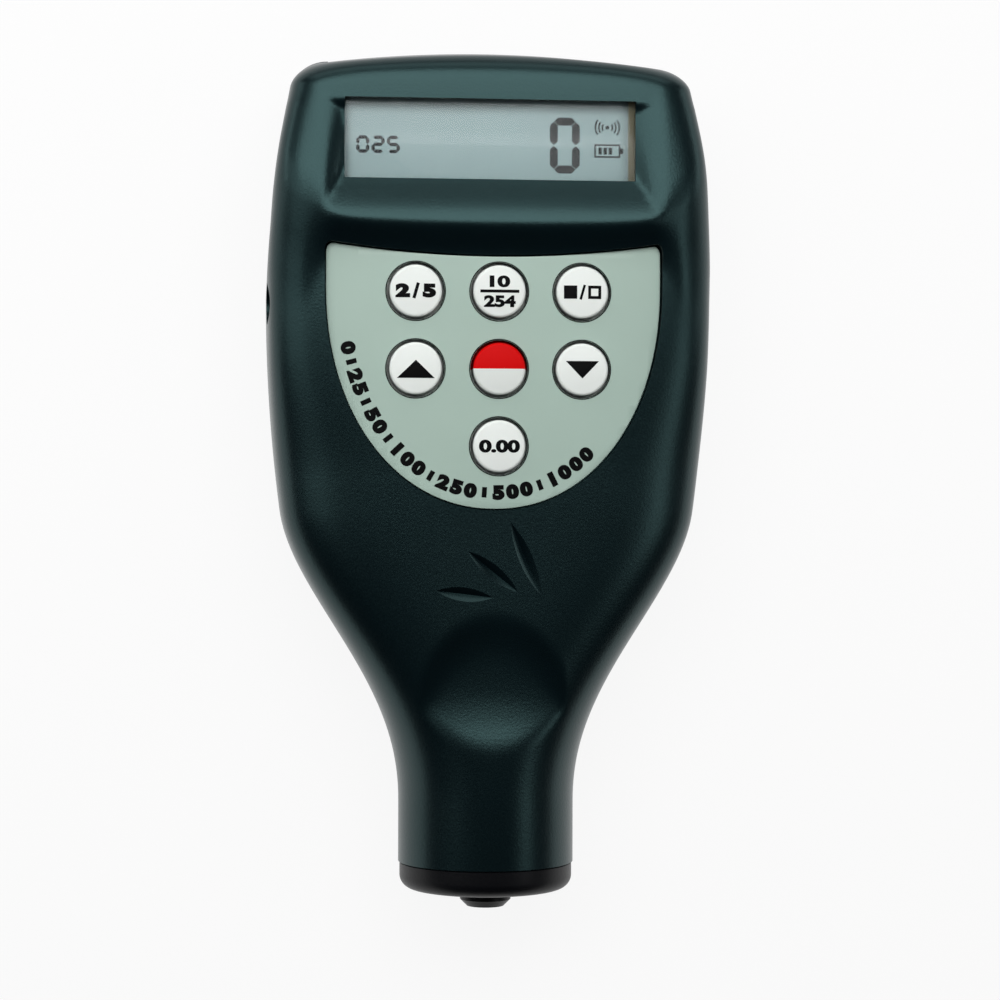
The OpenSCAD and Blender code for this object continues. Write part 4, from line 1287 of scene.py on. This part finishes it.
# %% [markdown]
# Four small screws hold the shells. A screw is a spun profile; its cross recess is two thin blocks
# cut from the head.

# %% Case screws
head_z = screws_low.z
head_h = 1.8
head_round = 0.6
shank_r = 1.1
slot_depth = 0.9


def screw(x, y):
    flat_r = head_r - head_round
    profile = [(0, head_z), (flat_r, head_z)]
    profile += quarter(flat_r, head_z + head_round, head_round, -90, 0, 6)
    profile += [(head_r, head_z + head_h), (shank_r, head_z + head_h)]
    profile += [(shank_r, screws_high.z), (0, screws_high.z)]
    bm = spun([(x + r, y, z) for r, z in profile], (x, y, 0), (0, 0, 1), 40)
    low, high = head_z - 1, head_z + slot_depth
    arms = ((1.2, 0.25), (0.25, 1.2))
    return cut(bm, [block(x - w, x + w, y - h, y + h, low, high) for w, h in arms])


screws = joined([screw(x, y) for x, y in SCREWS])
piece("screw_set", screws, plated_steel, HOUSING, ["case_screws"])

# %% [markdown]
# Behind the door lie four cells, turned this way and that. Each is a spun can with a crimped
# shoulder and a steel nub, wrapped in a plain printed sleeve. The sleeve and the bare steel are two
# materials on one mesh, chosen by where a face lies.

# %% Cells
cell_sleeve = finish(
    "cell_sleeve", srgb(70, 104, 128), 0.3, grain=900, bump=0.03, mottle=0.05, Metallic=0.4
)
nub_h = 0.9
nub_r = 1.9


def cell_profile(length, r):
    body = [(0, 0.25), (r - 1.6, 0.25), (r - 1.4, 0), (r - 0.7, 0)]
    body += quarter(r - 0.4, 0.5, 0.4, -70, 0, 5)
    shoulder = length - nub_h
    body += quarter(r - 0.5, shoulder - 0.7, 0.5, 0, 80, 5)
    body += [(r - 1.2, shoulder - 0.2), (r - 1.4, shoulder - 0.35)]
    body += [(nub_r + 0.5, shoulder - 0.2), (nub_r, shoulder)]
    return body + quarter(nub_r - 0.3, length - 0.3, 0.3, 0, 90, 4) + [(0, length)]


for i, (low, high) in enumerate(cells):
    mid = (low + high) / 2
    r = (high.x - low.x) / 2
    way = 1 if i % 2 == 0 else -1
    start = low.y if way > 0 else high.y
    profile = [(mid.x + pr, start + way * h, mid.z) for pr, h in cell_profile(high.y - low.y, r)]
    can = spun(profile, (mid.x, 0, mid.z), (0, 1, 0), 72)
    for face in can.faces:
        spot = face.calc_center_median()
        face.material_index = 1 if math.hypot(spot.x - mid.x, spot.z - mid.z) < r - 0.45 else 0
    can = piece(f"cell_{i + 1}", can, cell_sleeve, HOUSING, [f"battery_{i + 1}"])
    can.data.materials.append(plated_steel)

# %% [markdown]
# The contact springs are conical: a straight helix whose upper turns are drawn in towards the axis.

# %% Contact springs
springs_low, springs_high = box_mm("battery_springs")
contact_len = 3.4
foot_r, tip_r = 3.57, 2.1
coils = []
for i, (low, high) in enumerate(cells):
    mid = (low + high) / 2
    way = 1 if i % 2 == 0 else -1
    foot = springs_low.y if way > 0 else springs_high.y
    bm = helix((mid.x, foot, mid.z), (0, way, 0), foot_r, wire_r, contact_len, 4, 24)
    for vert in bm.verts:
        share = min(1, max(0, abs(vert.co.y - foot) / contact_len))
        pull = mix(1, tip_r / foot_r, share)
        vert.co.x = mid.x + (vert.co.x - mid.x) * pull
        vert.co.z = mid.z + (vert.co.z - mid.z) * pull
    coils.append(bm)
piece("contact_coils", joined(coils), spring_steel, HOUSING, ["battery_springs"])

# %% [markdown]
# What stays hidden inside keeps its solid form and only gets a finish: the board, its parts, the
# rubber mat, the display carrier, the probe housing and the leads.

# %% Finishes of the inner pieces
INNER = {
    "lcd_frame": finish("carrier_plastic", srgb(120, 124, 120), 0.5, bump=0.1),
    "contact_strips": finish("strip_rubber", srgb(206, 150, 150), 0.6, grain=4000, bump=0.1),
    "key_mat": finish("mat_rubber", srgb(70, 72, 74), 0.65, bump=0.15),
    "main_board": finish("solder_mask", srgb(24, 92, 52), 0.35, grain=1200, bump=0.1, mottle=0.25),
    "board_parts": finish("chip_plastic", srgb(26, 26, 28), 0.5, bump=0.1),
    "data_jack": finish("socket_plastic", srgb(20, 20, 22), 0.35, bump=0.08),
    "contact_plates": finish(
        "contact_nickel", [0.6, 0.58, 0.54], 0.3, grain=4000, bump=0.05, Metallic=1.0
    ),
    "probe_housing": finish("housing_tube", srgb(34, 36, 38), 0.45, bump=0.1),
    "probe_leads": finish("lead_sleeve", srgb(150, 26, 26), 0.4, bump=0.05),
}
for name, material in INNER.items():
    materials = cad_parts[name].data.materials
    materials.clear()
    materials.append(material)
print("inner pieces dressed:", len(INNER))

# %% [markdown]
# The camera stands where the photographer stood: almost straight above the gauge, a little to its
# left, about 40 cm away. The image is square, so one focal length in pixels fixes both directions.

# %% Camera
image_px = 1000
view_distance = 395.0
mm_per_px = 0.148
yaw = math.radians(6.0)
roll = math.radians(0.15)
target = Vector((2.05, -2.9, axis_z))

towards = Vector((-math.sin(yaw), 0, math.cos(yaw)))
up = Vector((-math.sin(roll), math.cos(roll), 0))
side = up.cross(towards).normalized()
up = towards.cross(side)
camera_data = bpy.data.cameras.new("camera")
camera = bpy.data.objects.new("camera", camera_data)
bpy.context.scene.collection.objects.link(camera)
camera_data.lens = camera_data.sensor_width * (view_distance / mm_per_px) / image_px
place = Matrix((side, up, towards)).transposed().to_4x4()
place.translation = (target + towards * view_distance) * MM
camera.matrix_world = place
camera_data.clip_start = 0.01
bpy.context.scene.camera = camera
print("camera lens", round(camera_data.lens, 1), "mm")

# %% [markdown]
# The studio is plain: a pale floor, a faint sky, a large softbox over the display end, and weaker
# strips and walls of light at the sides and the back, whose reflections draw the form. An overhead
# fill lights the colours without showing in the gloss. For camera rays the floor reads as white
# paper, and reflections see the same white, so the rims of the dark body light up as they do on a
# product table.

# %% Studio
def area_light(name, place, aim, size, power, mirrored=True):
    data = bpy.data.lights.new(name, "AREA")
    data.shape = "RECTANGLE"
    data.size, data.size_y = size
    data.energy = power
    obj = bpy.data.objects.new(name, data)
    obj.visible_glossy = mirrored
    obj.location = place
    obj.rotation_euler = (Vector(aim) - Vector(place)).to_track_quat("-Z", "Y").to_euler()
    bpy.context.scene.collection.objects.link(obj)


def white_to_camera(tree, lit, share):
    rays = node(tree, "LightPath").outputs
    seen = maths(tree, "MAXIMUM", rays["Is Camera Ray"], rays["Is Transmission Ray"])
    seen = maths(tree, "MAXIMUM", seen, rays["Is Glossy Ray"])
    blend = node(tree, "MixShader", Fac=maths(tree, "MULTIPLY", seen, share))
    plug(tree, blend.inputs[1], lit.outputs[0])
    plug(tree, blend.inputs[2], node(tree, "Emission").outputs[0])
    plug_all(tree, tree.nodes["Material Output"], Surface=blend.outputs["Shader"])


floor = bmesh.new()
bmesh.ops.create_grid(floor, x_segments=8, y_segments=8, size=1.5)
floor = new_object("floor", floor)
paper, tree, lit = node_material("paper")
plug_all(tree, lit, Base_Color=(0.85, 0.85, 0.85, 1), Roughness=0.9)
white_share = 0.9
white_to_camera(tree, lit, white_share)
floor.data.materials.append(paper)

world = bpy.data.worlds.new("sky")
bpy.context.scene.world = world
world.use_nodes = True
sky = world.node_tree.nodes["Background"]
plug_all(world.node_tree, sky, Color=(1, 1, 1, 1), Strength=0.03)

area_light("main_softbox", (-0.035, 0.215, 0.36), (-0.035, 0.215, 0), (0.47, 0.27), 1.4)
area_light("left_strip", (-0.34, 0.08, 0.31), (0, 0.03, 0.02), (0.22, 0.26), 0.25)
area_light("right_strip", (0.38, -0.02, 0.35), (0, 0.03, 0.02), (0.2, 0.12), 0.15)
area_light("left_wall", (-0.6, 0.22, 0.13), (0, 0.04, 0.02), (0.34, 0.2), 0.45)
area_light("right_wall", (0.6, 0.22, 0.13), (0, 0.04, 0.02), (0.34, 0.2), 0.36)
area_light("back_strip", (0.0, 0.6, 0.24), (0, 0, 0.02), (0.8, 0.26), 0.9)
area_light("overhead_fill", (-0.1, -0.1, 0.9), (0, 0, 0), (1.0, 1.0), 0.8, mirrored=False)
bpy.context.scene.view_settings.view_transform = "Standard"
print("studio is lit")
